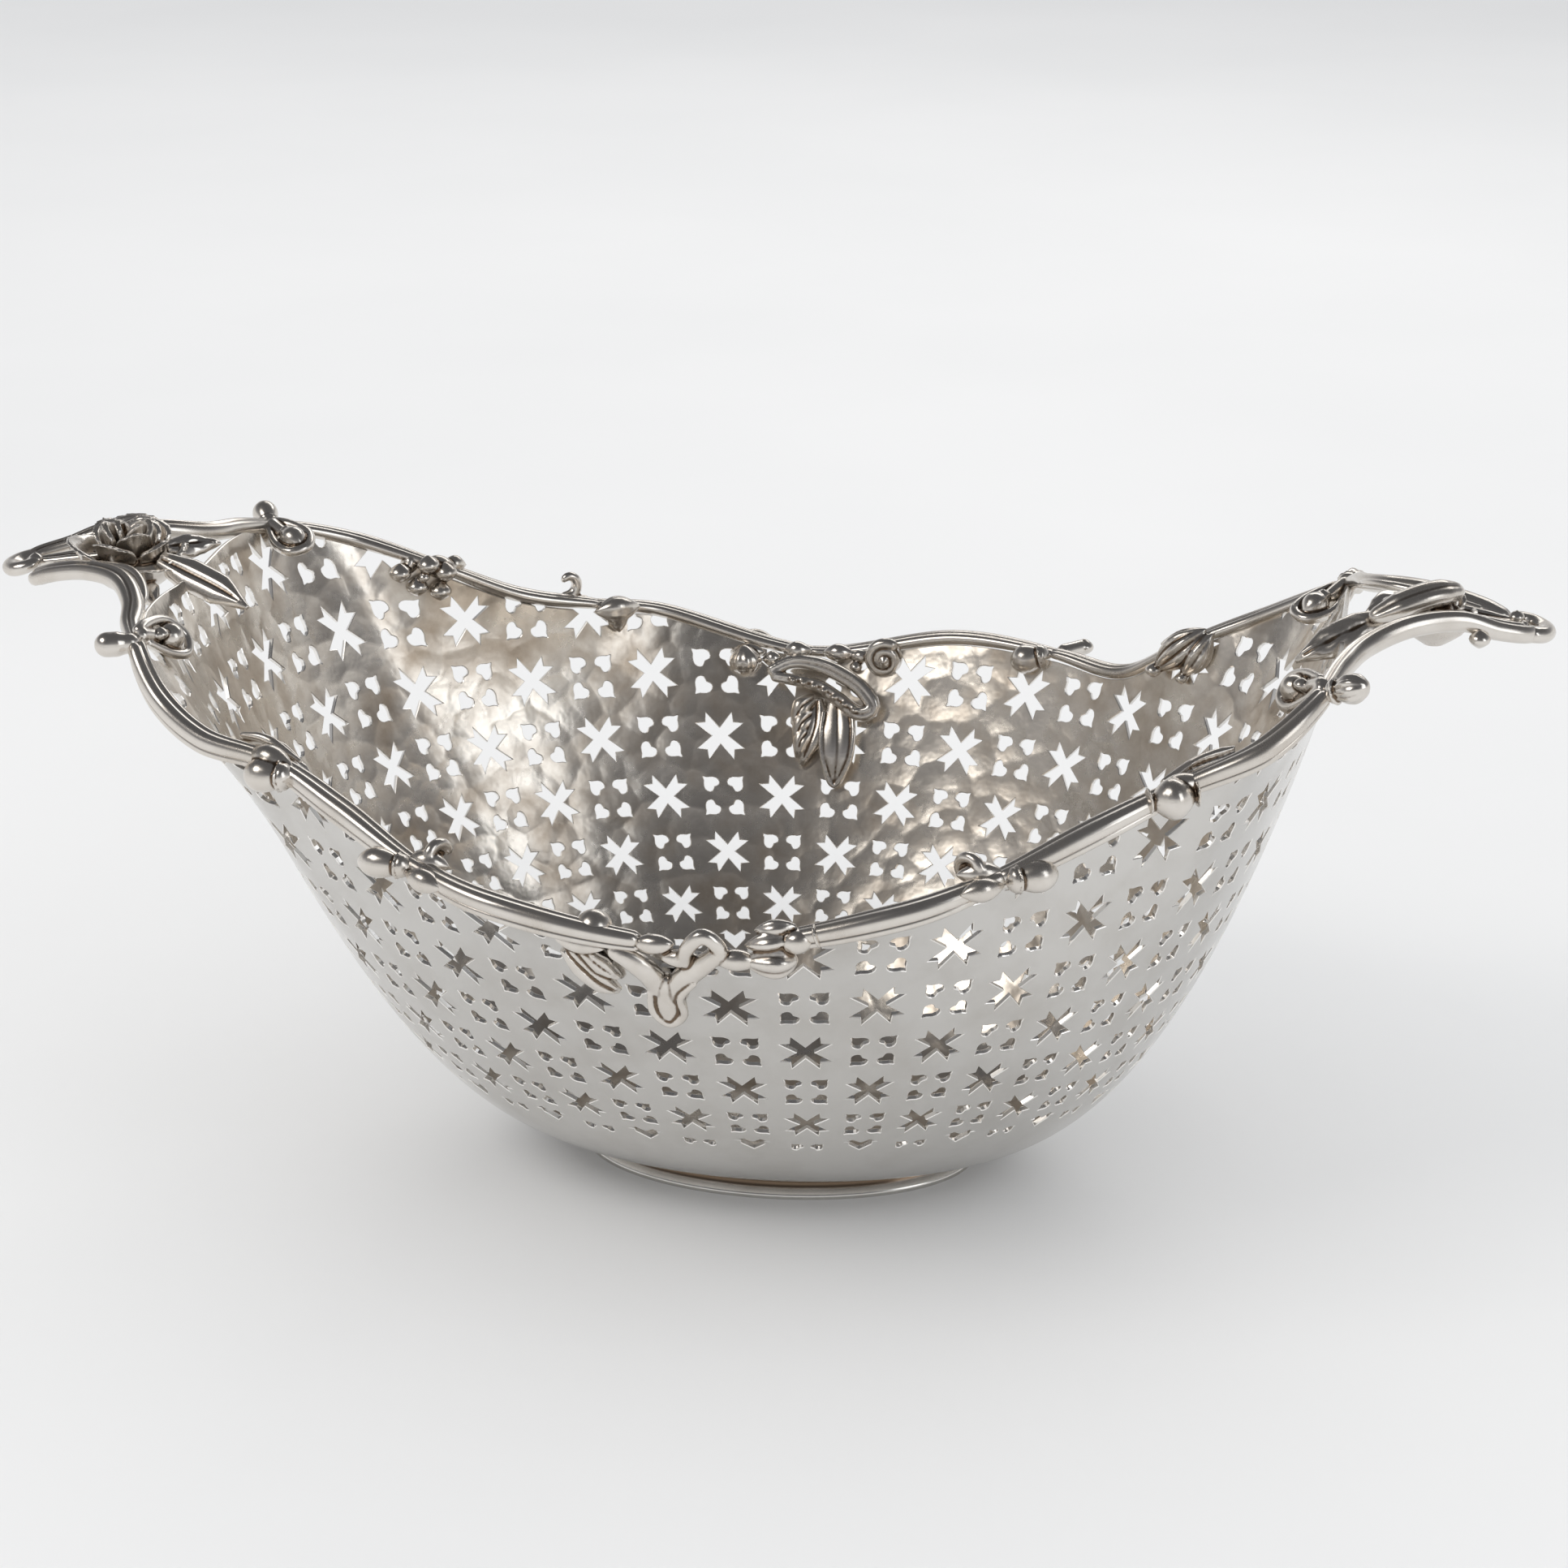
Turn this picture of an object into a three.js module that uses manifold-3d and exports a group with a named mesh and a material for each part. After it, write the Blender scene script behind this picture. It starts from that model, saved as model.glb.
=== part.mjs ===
// Oval fruit bowl of pierced silver sheet on a low foot. Its rim is a run of cast scroll rails with buds and
// knots between them, and each end has a handle of two scroll bars round a rose. Millimetres, +Z up, origin
// on the table under the middle of the bowl, +X to the right handle, -Y to the near long side.
import * as THREE from "three";
import { mergeVertices } from "three/addons/utils/BufferGeometryUtils.js";
import Module from "manifold-3d";

const wasm = await Module();
wasm.setup();

// Foot
const FOOT_HEIGHT = 6;
const FOOT_HALF_LENGTH = 43;
const FOOT_HALF_WIDTH = 26;
const FOOT_WALL = 2.6;
const FOOT_WAIST = 1.4; // how far the foot draws in between its bottom bead and the bowl
const FOOT_BEAD_HEIGHT = 1.1;
const FOOT_WAIST_HEIGHT = 2.8; // where the waist is reached
const FOOT_LEAN = 5; // the foot stands this far to the right of the bowl's middle

// Sheet bowl
const END_HALF_LENGTH = 122;
const END_HEIGHT = 126;
const SIDE_HALF_WIDTH = 83;
const SIDE_HEIGHT = 85;
const END_FLARE = 0.46; // exponent of the end's profile: the lower, the flatter the floor runs out
const SIDE_FLARE = 0.57;
const LIP_SHARPNESS = 6; // how late the wall turns out to meet the rim
const SHEET = 1.2;
const SHEET_CHORD = 0.12; // the sheet's flat facets stand off its true faces by up to this
const EDGE_CHORD = 0.3; // its edge runs straight from column to column, and stays this much lower for it

// Piercing
const COLUMNS = 44;
const FIRST_COLUMN = -80; // degrees round the oval
const COLUMN_DRIFT = 2.75; // degrees: the columns stand a little closer round the right end
const PATTERN_BOTTOM = 28.4; // height of the lowest full row at the middle of a long side
const HALF_ROW_HEIGHT = 5.8;
const CELL_ASPECT = 1.079; // height of a cell along the wall for its width
const END_LIFT = 0.09; // the rows climb towards the ends by this share of their height over the lowest
const CROSS_REACH = 0.35; // motif sizes are shares of their cell
const CROSS_TAIL = 0.17;
const CROSS_WAIST = 0.1;
const QUATREFOIL_REACH = 0.27;
const CHEVRON_RISE = 0.3;
const EDGE_RISE_TURN = 7; // degrees past a knob in which the sheet's edge climbs to the rim itself
const EDGE_MARGIN = 1.6; // plain metal between a motif's cell and the sheet's top edge

// Rim and ornaments
const RAIL_RADIUS = 1.9;
const RAIL_FACET_LENGTH = 7;
const RIM_SWING = 10; // the rim's reach beyond the plain oval is given in shares of this
const SEAT_GAP = 0.3; // the soldered pieces are kept apart by this
const CRUMB_VOLUME = 0.5;
const ROOT_MARGIN = 0.4; // a root ball stands this far round the rail or bar that ends on it
const BUD_RADIUS = 3; // of a common bud: the pieces at the rim's stations are laid out in this
const SCROLL_RADIUS = 1.5;
const CREST_SIZE = 20; // the crests in the middle of each long side are laid out in this
const STRAP_HALF_THICKNESS = 1.1;
const TWIST_RADIUS = 1.6; // of the far crest's loop

// Handles, in the handle's own frame: x outwards from the end of the bowl, z up from the rim's end
const BAR_RADIUS = 2.3;
const HANDLE_REACH = 39.2; // from the end of the bowl to the middle of the tip
const HANDLE_RISE = 5.7; // of the long bar's highest point
const TIP_CURL_RADIUS = 2.6;
const TIP_CURL_LENGTH = 7.5;
const BEAD_RADIUS = 2.1;
const STEM_RADIUS = 1.3;
const ROSE_RADIUS = 5.6;
const ROSE_HALF_HEIGHT = 4;
const PETALS = 5;
const PETAL_RING = 6.4; // from the rose's middle to the middle of each outer petal
const PETAL_RADIUS = 2.6;
const PETAL_DROP = 0.9; // the outer petals lie this far below the rose's middle
const CALYX_LENGTH = 10.4;
const CALYX_HALF_WIDTH = 2.2;
const LARGE_LEAF_LENGTH = 22;
const LARGE_LEAF_HALF_WIDTH = 4.4;
const SMALL_LEAF_LENGTH = 12;
const SMALL_LEAF_HALF_WIDTH = 3.2;
const LEAF_HALF_THICKNESS = 0.9;

// The rim's route, counter-clockwise from the far knob of the right end: name, degrees round the oval, rise
// as a share of the way from the side's height to the end's, and reach as a share of the swing. Between two
// knobs of one end the rim is the sheet's own edge, and elsewhere it is the middle line of the rails.
const RIM_ROUTE = [
  ["knob_far_right", 22.7, 0.902, 1.15],
  ["", 32.1, 0.622, 0.58],
  ["knot_far_right", 39.3, 0.41, -0.15],
  ["", 49.2, 0.151, 0.05],
  ["joint_far_right", 59.7, 0.161, 0.09],
  ["", 73, 0.151, 0.24],
  ["crest_far", 90.8, 0.007, 0.39],
  ["", 109.3, 0.244, 0.2],
  ["joint_far_left", 117.7, 0.337, -0.44],
  ["", 128.1, 0.439, -0.69],
  ["knot_far_left", 139.7, 0.673, -0.81],
  ["", 147.2, 0.834, 0.11],
  ["knob_far_left", 156.4, 0.976, 0.51],
  ["", 166.1, 1.024, 0.18],
  ["end_left", 180, 1.012, -0.02],
  ["", 193.5, 1.024, 0.51],
  ["knob_near_left", 202.7, 0.976, 0.98],
  ["", 207.8, 0.763, 1.1],
  ["", 212.4, 0.598, 0.78],
  ["knot_near_left", 218, 0.52, -0.05],
  ["", 227.9, 0.38, -0.17],
  ["joint_near_left", 238.5, 0.222, 0.11],
  ["", 248.9, 0.134, 0.5],
  ["crest_near", 269.2, 0.005, 0.39],
  ["", 289.4, 0.183, 0.31],
  ["joint_near_right", 300.6, 0.305, -0.13],
  ["", 311.9, 0.473, -0.37],
  ["knot_near_right", 321.8, 0.62, -0.26],
  ["", 327.9, 0.798, 0.5],
  ["knob_near_right", 336.6, 1, 0.57],
  ["", 346.1, 1.024, 0.18],
  ["end_right", 360, 1.007, -0.06],
  ["", 373.7, 0.976, 0.43],
];

const QUADRANTS = ["far_right", "far_left", "near_left", "near_right"];

// The knobs stand out from the handle's foot: base and tip from the rim's point, away from the bowl's middle,
// in bud radii.
const KNOBS = {
  near_left: { base: [0.07, 0.07, -0.1], tip: [2.53, 1.07, 0] },
  near_right: { base: [0.27, 0, 0], tip: [2.67, 1.33, 1] },
  far_left: { base: [0.1, 0.13, 0], tip: [1.33, 2.67, 0.87] },
  far_right: { base: [-0.1, 0.13, 0], tip: [0.73, 2.8, -0.47] },
};

// The bud at the inner end of each scroll under the handle, from the rim's point at the knob, in bud radii.
const INNER_BUDS = {
  near_left: [-1.5, -3, -0.67],
  near_right: [-1.93, -3, -1],
  far_left: [-2.43, -2.67, -0.17],
  far_right: [-2.27, -3, -0.8],
};

// The lumps of each knot: base and tip as [towards the end, out, up] from its station, and radius, all in
// bud radii.
const KNOTS = {
  near_left: [[[-1.4, 0.67, -0.53], [1.07, 0.93, -0.67], 0.93]],
  near_right: [[[-2.07, 0.67, -0.53], [0.8, 0.6, -0.27], 1.23]],
  far_left: [
    [[-2, -0.73, -0.2], [2, -0.73, 0.4], 0.6],
    [[1.67, -0.87, -0.3], [1.67, -0.87, 1.23], 0.78],
    [[0.27, -0.87, -1.34], [0.27, -0.87, 0.22], 0.78],
    [[-1.33, -0.87, -1.7], [-1.33, -0.87, -0.15], 0.78],
    [[-1.87, -0.87, -0.4], [-1.87, -0.87, 1.15], 0.78],
    [[-1.13, -0.87, 0.37], [-1.13, -0.87, 1.9], 0.78],
  ],
  far_right: [
    [[1.4, -0.47, 1.33], [-1.53, -1.07, -1.53], 1.03],
    [[1.8, -0.53, 1.13], [0.27, -1.07, -1.67], 0.83],
  ],
};

// The lumps of the buds at the joints nearer the middle of each side, given in the same way.
const OUTER_BUDS = {
  near_left: [
    [[-0.2, 0.47, -0.07], [2.8, 1.27, -0.13], 0.87],
    [[0.2, 0.53, -0.17], [-3.07, 0.63, -0.67], 0.7],
  ],
  near_right: [
    [[-0.17, 0.3, 0], [3.27, 0.9, 0.1], 0.95],
    [[0.2, 0.5, -0.1], [-2.87, 0.73, -0.4], 0.7],
  ],
  far_left: [],
  far_right: [[[0.13, 0.2, 0], [1.03, 2.4, 0.1], 0.57]],
};
const JOINT_BUDS = {
  near_left: [
    [[0.33, -0.13, 0.13], [-1.67, -1.07, -0.2], 0.63],
    [[-0.87, -1, -0.8], [-0.87, -1, 0.93], 0.87],
  ],
  near_right: [
    [[0.33, -0.2, 0.13], [-2, -0.87, 0.07], 0.6],
    [[-1.33, -0.93, -0.6], [-1.33, -0.93, 1], 0.8],
  ],
  far_left: [
    [[0.47, -0.9, -0.27], [-2.73, -1.07, -0.2], 0.9],
    [[-1.07, -0.53, 0.2], [-1.2, -0.93, -1.8], 0.73],
  ],
  far_right: [[[-0.33, -0.53, 0], [-2.67, -1.4, -0.67], 1]],
};

// The open hook at the far left joint, in bud radii.
const HOOK = [
  [0.2, 0.2, 0.1],
  [1.5, 0.67, 0.3],
  [2.6, 0.73, 0.8],
  [2.7, 0.73, 1.75],
  [1.9, 0.73, 2.45],
  [0.9, 0.73, 2.05],
];
const HOOK_RADIUS = 1.25;

// The long bar of a handle after its foot, and the short one: x as a share of the reach, y of the distance
// from the handle's middle to its foot, and z of the rise.
const LONG_BAR = [
  [-0.041, -0.756, 0.28],
  [0.077, -0.527, 0.56],
  [0.309, -0.349, 0.965],
  [0.561, -0.251, 1],
  [0.74, -0.195, 0.579],
  [0.893, -0.127, 0.316],
  [0.94, -0.024, 0.175],
];
const SHORT_BAR = [
  [0.077, 0.793, -0.035],
  [0.125, 0.61, 0.316],
  [0.255, 0.415, 0.702],
  [0.474, 0.293, 0.737],
  [0.702, 0.224, 0.421],
  [0.842, 0.18, 0.105],
];

// The flower on each handle: the rose's middle as a share of the reach, and the routes of its two leaves from
// the oval's end, in the length of the leaf. Both large leaves lean towards the near side.
const FLOWERS = {
  right: {
    rose: 0.43,
    large: [[0.34, -0.27, 0.2], [0.02, -0.46, 0.11], [-0.25, -0.56, -0.02], [-0.48, -0.6, -0.16]],
    small: [[0.96, 0.42, 0.4], [0.62, 0.1, 0.43], [0.24, -0.22, 0.26]],
  },
  left: {
    rose: 0.332,
    large: [[0.273, -0.118, 0.173], [0, -0.19, 0.073], [-0.386, -0.318, -0.055], [-0.682, -0.455, -0.155]],
    small: [[0.533, 0.3, 0.367], [0.117, 0.483, 0.417], [-0.3, 0.817, 0.367]],
  },
};

// Materials
const SILVER = { color: 0xc6c0b2, roughness: 0.2, metalness: 1 };
const WORN_SILVER = { color: 0xb7ae9c, roughness: 0.32, metalness: 1 };
const DARK_SILVER = { color: 0xa59b88, roughness: 0.36, metalness: 1 };

const UP = new THREE.Vector3(0, 0, 1);
const NEAR = -1;
const FAR = 1;
const FULL_TURN = 2 * Math.PI;
const point = (x, y, z) => new THREE.Vector3(x, y, z);

// The plain oval of the bowl at a height: half length, half width and the x of its middle.
function oval(z) {
  const risen = Math.max(z - FOOT_HEIGHT, 0);
  const endShare = (risen / (END_HEIGHT - FOOT_HEIGHT)) ** END_FLARE;
  const sideShare = (risen / (SIDE_HEIGHT - FOOT_HEIGHT)) ** SIDE_FLARE;
  return {
    halfLength: FOOT_HALF_LENGTH + (END_HALF_LENGTH - FOOT_HALF_LENGTH) * endShare,
    halfWidth: FOOT_HALF_WIDTH + (SIDE_HALF_WIDTH - FOOT_HALF_WIDTH) * sideShare,
    middle: FOOT_LEAN * (1 - z / END_HEIGHT),
  };
}

function ovalPoint(turn, z, reach = 0) {
  const { halfLength, halfWidth, middle } = oval(z);
  const along = halfLength * Math.cos(turn);
  const across = halfWidth * Math.sin(turn);
  const grown = 1 + reach / Math.hypot(along, across);
  return point(middle + along * grown, across * grown, z);
}

const rimPoints = RIM_ROUTE.map(([, degrees, rise, reach]) =>
  ovalPoint(
    THREE.MathUtils.degToRad(degrees),
    THREE.MathUtils.lerp(SIDE_HEIGHT, END_HEIGHT, rise),
    reach * RIM_SWING,
  ),
);
const rimCurve = new THREE.CatmullRomCurve3(rimPoints, true, "centripetal");

// Samples of the rim with the turn round the oval at each, so that the rim can be asked for by its turn.
const RIM_SAMPLES = 1200;
const rimTable = [];
for (let i = 0; i <= RIM_SAMPLES; i++) {
  const at = rimCurve.getPoint(i / RIM_SAMPLES);
  const { halfLength, halfWidth, middle } = oval(at.z);
  let turn = Math.atan2(at.y / halfWidth, (at.x - middle) / halfLength);
  const before = i ? rimTable[i - 1].turn : 0;
  while (turn < before - Math.PI) turn += FULL_TURN;
  rimTable.push({ turn, at });
}

function rimAt(turn) {
  const first = rimTable[0].turn;
  const wanted = first + THREE.MathUtils.euclideanModulo(turn - first, FULL_TURN);
  let low = 0;
  let high = RIM_SAMPLES;
  while (high - low > 1) {
    const middle = (low + high) >> 1;
    if (rimTable[middle].turn > wanted) high = middle;
    else low = middle;
  }
  const span = rimTable[high].turn - rimTable[low].turn || 1;
  const share = THREE.MathUtils.clamp((wanted - rimTable[low].turn) / span, 0, 1);
  return rimTable[low].at.clone().lerp(rimTable[high].at, share);
}

// The outer face of the sheet: the plain oval, drawn out near its top to meet the rim.
function wallPoint(anyTurn, z) {
  const turn = THREE.MathUtils.euclideanModulo(anyTurn, FULL_TURN);
  const rim = rimAt(turn);
  const share = THREE.MathUtils.clamp((z - FOOT_HEIGHT) / (rim.z - FOOT_HEIGHT), 0, 1);
  const lip = rim.clone().sub(ovalPoint(turn, rim.z));
  return ovalPoint(turn, z).addScaledVector(lip, share ** LIP_SHARPNESS);
}

function wallNormal(turn, z) {
  const step = 0.004;
  const rise = 0.1;
  const under = Math.min(z, rimAt(turn).z - rise);
  const along = wallPoint(turn + step, under).sub(wallPoint(turn - step, under));
  const upward = wallPoint(turn, under + rise).sub(wallPoint(turn, under));
  return along.cross(upward).normalize();
}

// A point off the sheet's outer face: out is positive outside the bowl and negative inside it.
function offWall(turn, z, out) {
  return wallPoint(turn, z).addScaledVector(wallNormal(turn, z), out);
}

// The turn at which the wall stands at x on the near or far long side.
function turnAt(x, z, side) {
  const { halfLength, middle } = oval(z);
  return side * Math.acos(THREE.MathUtils.clamp((x - middle) / halfLength, -1, 1));
}
const onSide = (side, x, z, out) => offWall(turnAt(x, z, side), z, out);

// Solids

function solidOf(geometry) {
  const bare = geometry.index ? geometry.toNonIndexed() : geometry.clone();
  bare.deleteAttribute("normal");
  bare.deleteAttribute("uv");
  const merged = mergeVertices(bare, 1e-4);
  const solid = new wasm.Manifold(
    new wasm.Mesh({
      numProp: 3,
      vertProperties: Float32Array.from(merged.attributes.position.array),
      triVerts: Uint32Array.from(merged.index.array),
    }),
  );
  return solid;
}

function geometryOf(solid) {
  const mesh = solid.getMesh();
  const flat = new THREE.BufferGeometry();
  flat.setAttribute("position", new THREE.BufferAttribute(mesh.vertProperties, 3));
  flat.setIndex(new THREE.BufferAttribute(mesh.triVerts, 1));
  const faceted = flat.toNonIndexed();
  faceted.computeVertexNormals();
  return faceted;
}

function geometryOfTriangles(triangles) {
  const positions = [];
  for (const corner of triangles.flat()) positions.push(corner.x, corner.y, corner.z);
  const geometry = new THREE.BufferGeometry();
  geometry.setAttribute("position", new THREE.Float32BufferAttribute(positions, 3));
  return geometry;
}

const joined = (solids) => solids.reduce((whole, next) => whole.add(next));

// An ellipsoid from base to tip. Every form takes grow, the amount by which its surface is moved outwards.
function bud(base, tip, radius, sides = 8) {
  return (grow) => {
    const axis = tip.clone().sub(base);
    const half = axis.length() / 2 + grow;
    const geometry = new THREE.SphereGeometry(1, sides, sides - 2);
    geometry.scale(radius + grow, half, radius + grow);
    geometry.applyQuaternion(new THREE.Quaternion().setFromUnitVectors(point(0, 1, 0), axis.normalize()));
    const middle = base.clone().lerp(tip, 0.5);
    geometry.translate(middle.x, middle.y, middle.z);
    return solidOf(geometry);
  };
}

const ball = (at, radius, sides = 8) =>
  bud(at.clone().addScaledVector(UP, -radius), at.clone().addScaledVector(UP, radius), radius, sides);

// A round tube along a curve.
function tube(curve, radius, steps, sides = 8) {
  return (grow) => {
    const section = new THREE.Shape().absarc(0, 0, radius + grow, 0, FULL_TURN);
    const options = { extrudePath: curve, steps, curveSegments: sides / 2, bevelEnabled: false };
    return solidOf(new THREE.ExtrudeGeometry(section, options));
  };
}

// A tapering strap along points: half width across the face's normal and half thickness along it.
function strap(points, normals, widths, thickness, steps, sides = 6) {
  const route = new THREE.CatmullRomCurve3(points, false, "centripetal");
  const faces = new THREE.CatmullRomCurve3(normals, false, "centripetal");
  const widthAt = (share) => {
    const place = share * (widths.length - 1);
    const low = Math.min(Math.floor(place), widths.length - 2);
    return THREE.MathUtils.lerp(widths[low], widths[low + 1], place - low);
  };
  return (grow) => {
    const rings = [];
    for (let i = 0; i <= steps; i++) {
      const share = i / steps;
      const along = route.getTangent(share);
      const face = faces.getPoint(share).projectOnPlane(along).normalize();
      const across = face.clone().cross(along);
      const middle = route.getPoint(share);
      if (i === 0) middle.addScaledVector(along, -grow);
      if (i === steps) middle.addScaledVector(along, grow);
      const ring = [];
      for (let k = 0; k < sides; k++) {
        const angle = (k / sides) * FULL_TURN;
        ring.push(
          middle
            .clone()
            .addScaledVector(across, Math.cos(angle) * (widthAt(share) + grow))
            .addScaledVector(face, Math.sin(angle) * (thickness + grow)),
        );
      }
      rings.push(ring);
    }
    return solidOf(geometryOfTriangles(skinOf(rings)));
  };
}

// The closed skin of a row of rings that all have as many corners, with a fan on each end.
function skinOf(rings) {
  const triangles = [];
  const count = rings[0].length;
  for (let i = 0; i + 1 < rings.length; i++) {
    for (let k = 0; k < count; k++) {
      const next = (k + 1) % count;
      triangles.push([rings[i][k], rings[i][next], rings[i + 1][next]]);
      triangles.push([rings[i][k], rings[i + 1][next], rings[i + 1][k]]);
    }
  }
  const last = rings[rings.length - 1];
  for (let k = 1; k + 1 < count; k++) {
    triangles.push([rings[0][0], rings[0][k + 1], rings[0][k]]);
    triangles.push([last[0], last[k], last[k + 1]]);
  }
  return triangles;
}

// Pierced sheet

// Heights of the lines between the rows at the middle of a long side: cells are as high as they are wide.
function rowLines() {
  const side = -Math.PI / 2;
  const lines = [PATTERN_BOTTOM - HALF_ROW_HEIGHT, PATTERN_BOTTOM];
  const step = 0.25;
  let z = PATTERN_BOTTOM;
  let climbed = 0;
  while (z < END_HEIGHT) {
    climbed += ovalPoint(side, z + step).distanceTo(ovalPoint(side, z));
    z += step;
    const { halfLength, halfWidth } = oval(z);
    const around = FULL_TURN * Math.sqrt((halfLength ** 2 + halfWidth ** 2) / 2);
    if (climbed >= (CELL_ASPECT * around) / COLUMNS) {
      lines.push(z);
      climbed = 0;
    }
  }
  return lines;
}
const ROW_LINES = rowLines();

const FLOOR_RINGS = 4;
function turnOfLine(column) {
  const share = (column - 0.5) / COLUMNS;
  const drift = COLUMN_DRIFT * (1 - Math.cos(share * FULL_TURN));
  return THREE.MathUtils.degToRad(FIRST_COLUMN + 360 * share - drift);
}

function rowHeight(row, turn) {
  const z = ROW_LINES[row];
  return z + END_LIFT * (z - ROW_LINES[0]) * Math.cos(turn) ** 2;
}

const knobTurns = RIM_ROUTE.filter(([name]) => name.startsWith("knob")).map(([, degrees]) => degrees);

// How far a turn is inside the two knobs of its end, in degrees, and below zero along the rails.
function insideKnobs(turn) {
  const degrees = THREE.MathUtils.euclideanModulo(THREE.MathUtils.radToDeg(turn), 360);
  const [farRight, farLeft, nearLeft, nearRight] = knobTurns;
  if (Math.cos(turn) < 0) return Math.min(degrees - farLeft, nearLeft - degrees);
  const right = degrees > 180 ? degrees - 360 : degrees;
  return Math.min(farRight - right, right - (nearRight - 360));
}

// The sheet ends under the rails, and runs up to the rim itself between the knobs of an end.
function edgeHeight(turn) {
  const step = 0.01;
  const rim = rimAt(turn);
  const ahead = rimAt(turn + step).sub(rimAt(turn - step));
  const slope = ahead.z / Math.hypot(ahead.x, ahead.y);
  const railShare = 1 - THREE.MathUtils.clamp(insideKnobs(turn) / EDGE_RISE_TURN, 0, 1);
  return rim.z - (RAIL_RADIUS + SEAT_GAP) * Math.hypot(1, slope) * railShare - EDGE_CHORD;
}

// Motifs in a cell that is one unit wide and high, about its middle.
function crossMotif() {
  const corners = [];
  const centre = new THREE.Vector2();
  for (let quarter = 0; quarter < 4; quarter++) {
    const turned = (x, y) => new THREE.Vector2(x, y).rotateAround(centre, (quarter * Math.PI) / 2);
    corners.push(turned(CROSS_WAIST, 0), turned(CROSS_REACH, CROSS_TAIL), turned(CROSS_TAIL, CROSS_REACH));
  }
  return corners;
}

function quatrefoilMotif() {
  const r = QUATREFOIL_REACH;
  const corners = [[r, r], [-r, r], [-r, -r], [r, -r]];
  return corners.map(([x, y]) => new THREE.Vector2(x, y));
}

// Half motifs stand on the pattern's lowest line: a wide chevron, or the upper half of a quatrefoil.
function halfMotif(isCross) {
  const tip = isCross ? CHEVRON_RISE : -CHEVRON_RISE;
  const corners = [[-CROSS_REACH, -tip], [CROSS_REACH, -tip], [0, tip]];
  return corners.map(([x, y]) => new THREE.Vector2(x, y));
}

// One cell of the sheet as triangles in turn and height: its outline, and the motif cut through it.
function cellTriangles(outline, hole, inside, outside) {
  const holes = hole ? [hole] : [];
  const flat = [...outline, ...holes.flat()];
  const triangles = [];
  for (const [a, b, c] of THREE.ShapeUtils.triangulateShape(outline, holes)) {
    const facesOut = THREE.ShapeUtils.area([flat[a], flat[b], flat[c]]) > 0;
    const [p, q, r] = facesOut ? [a, b, c] : [a, c, b];
    triangles.push([outside(flat[p]), outside(flat[q]), outside(flat[r])]);
    triangles.push([inside(flat[p]), inside(flat[r]), inside(flat[q])]);
  }
  if (hole) {
    const ordered = THREE.ShapeUtils.isClockWise(hole) ? [...hole].reverse() : hole;
    ordered.forEach((from, i) => {
      const to = ordered[(i + 1) % ordered.length];
      triangles.push([outside(from), outside(to), inside(to)]);
      triangles.push([outside(from), inside(to), inside(from)]);
    });
  }
  return triangles;
}

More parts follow.
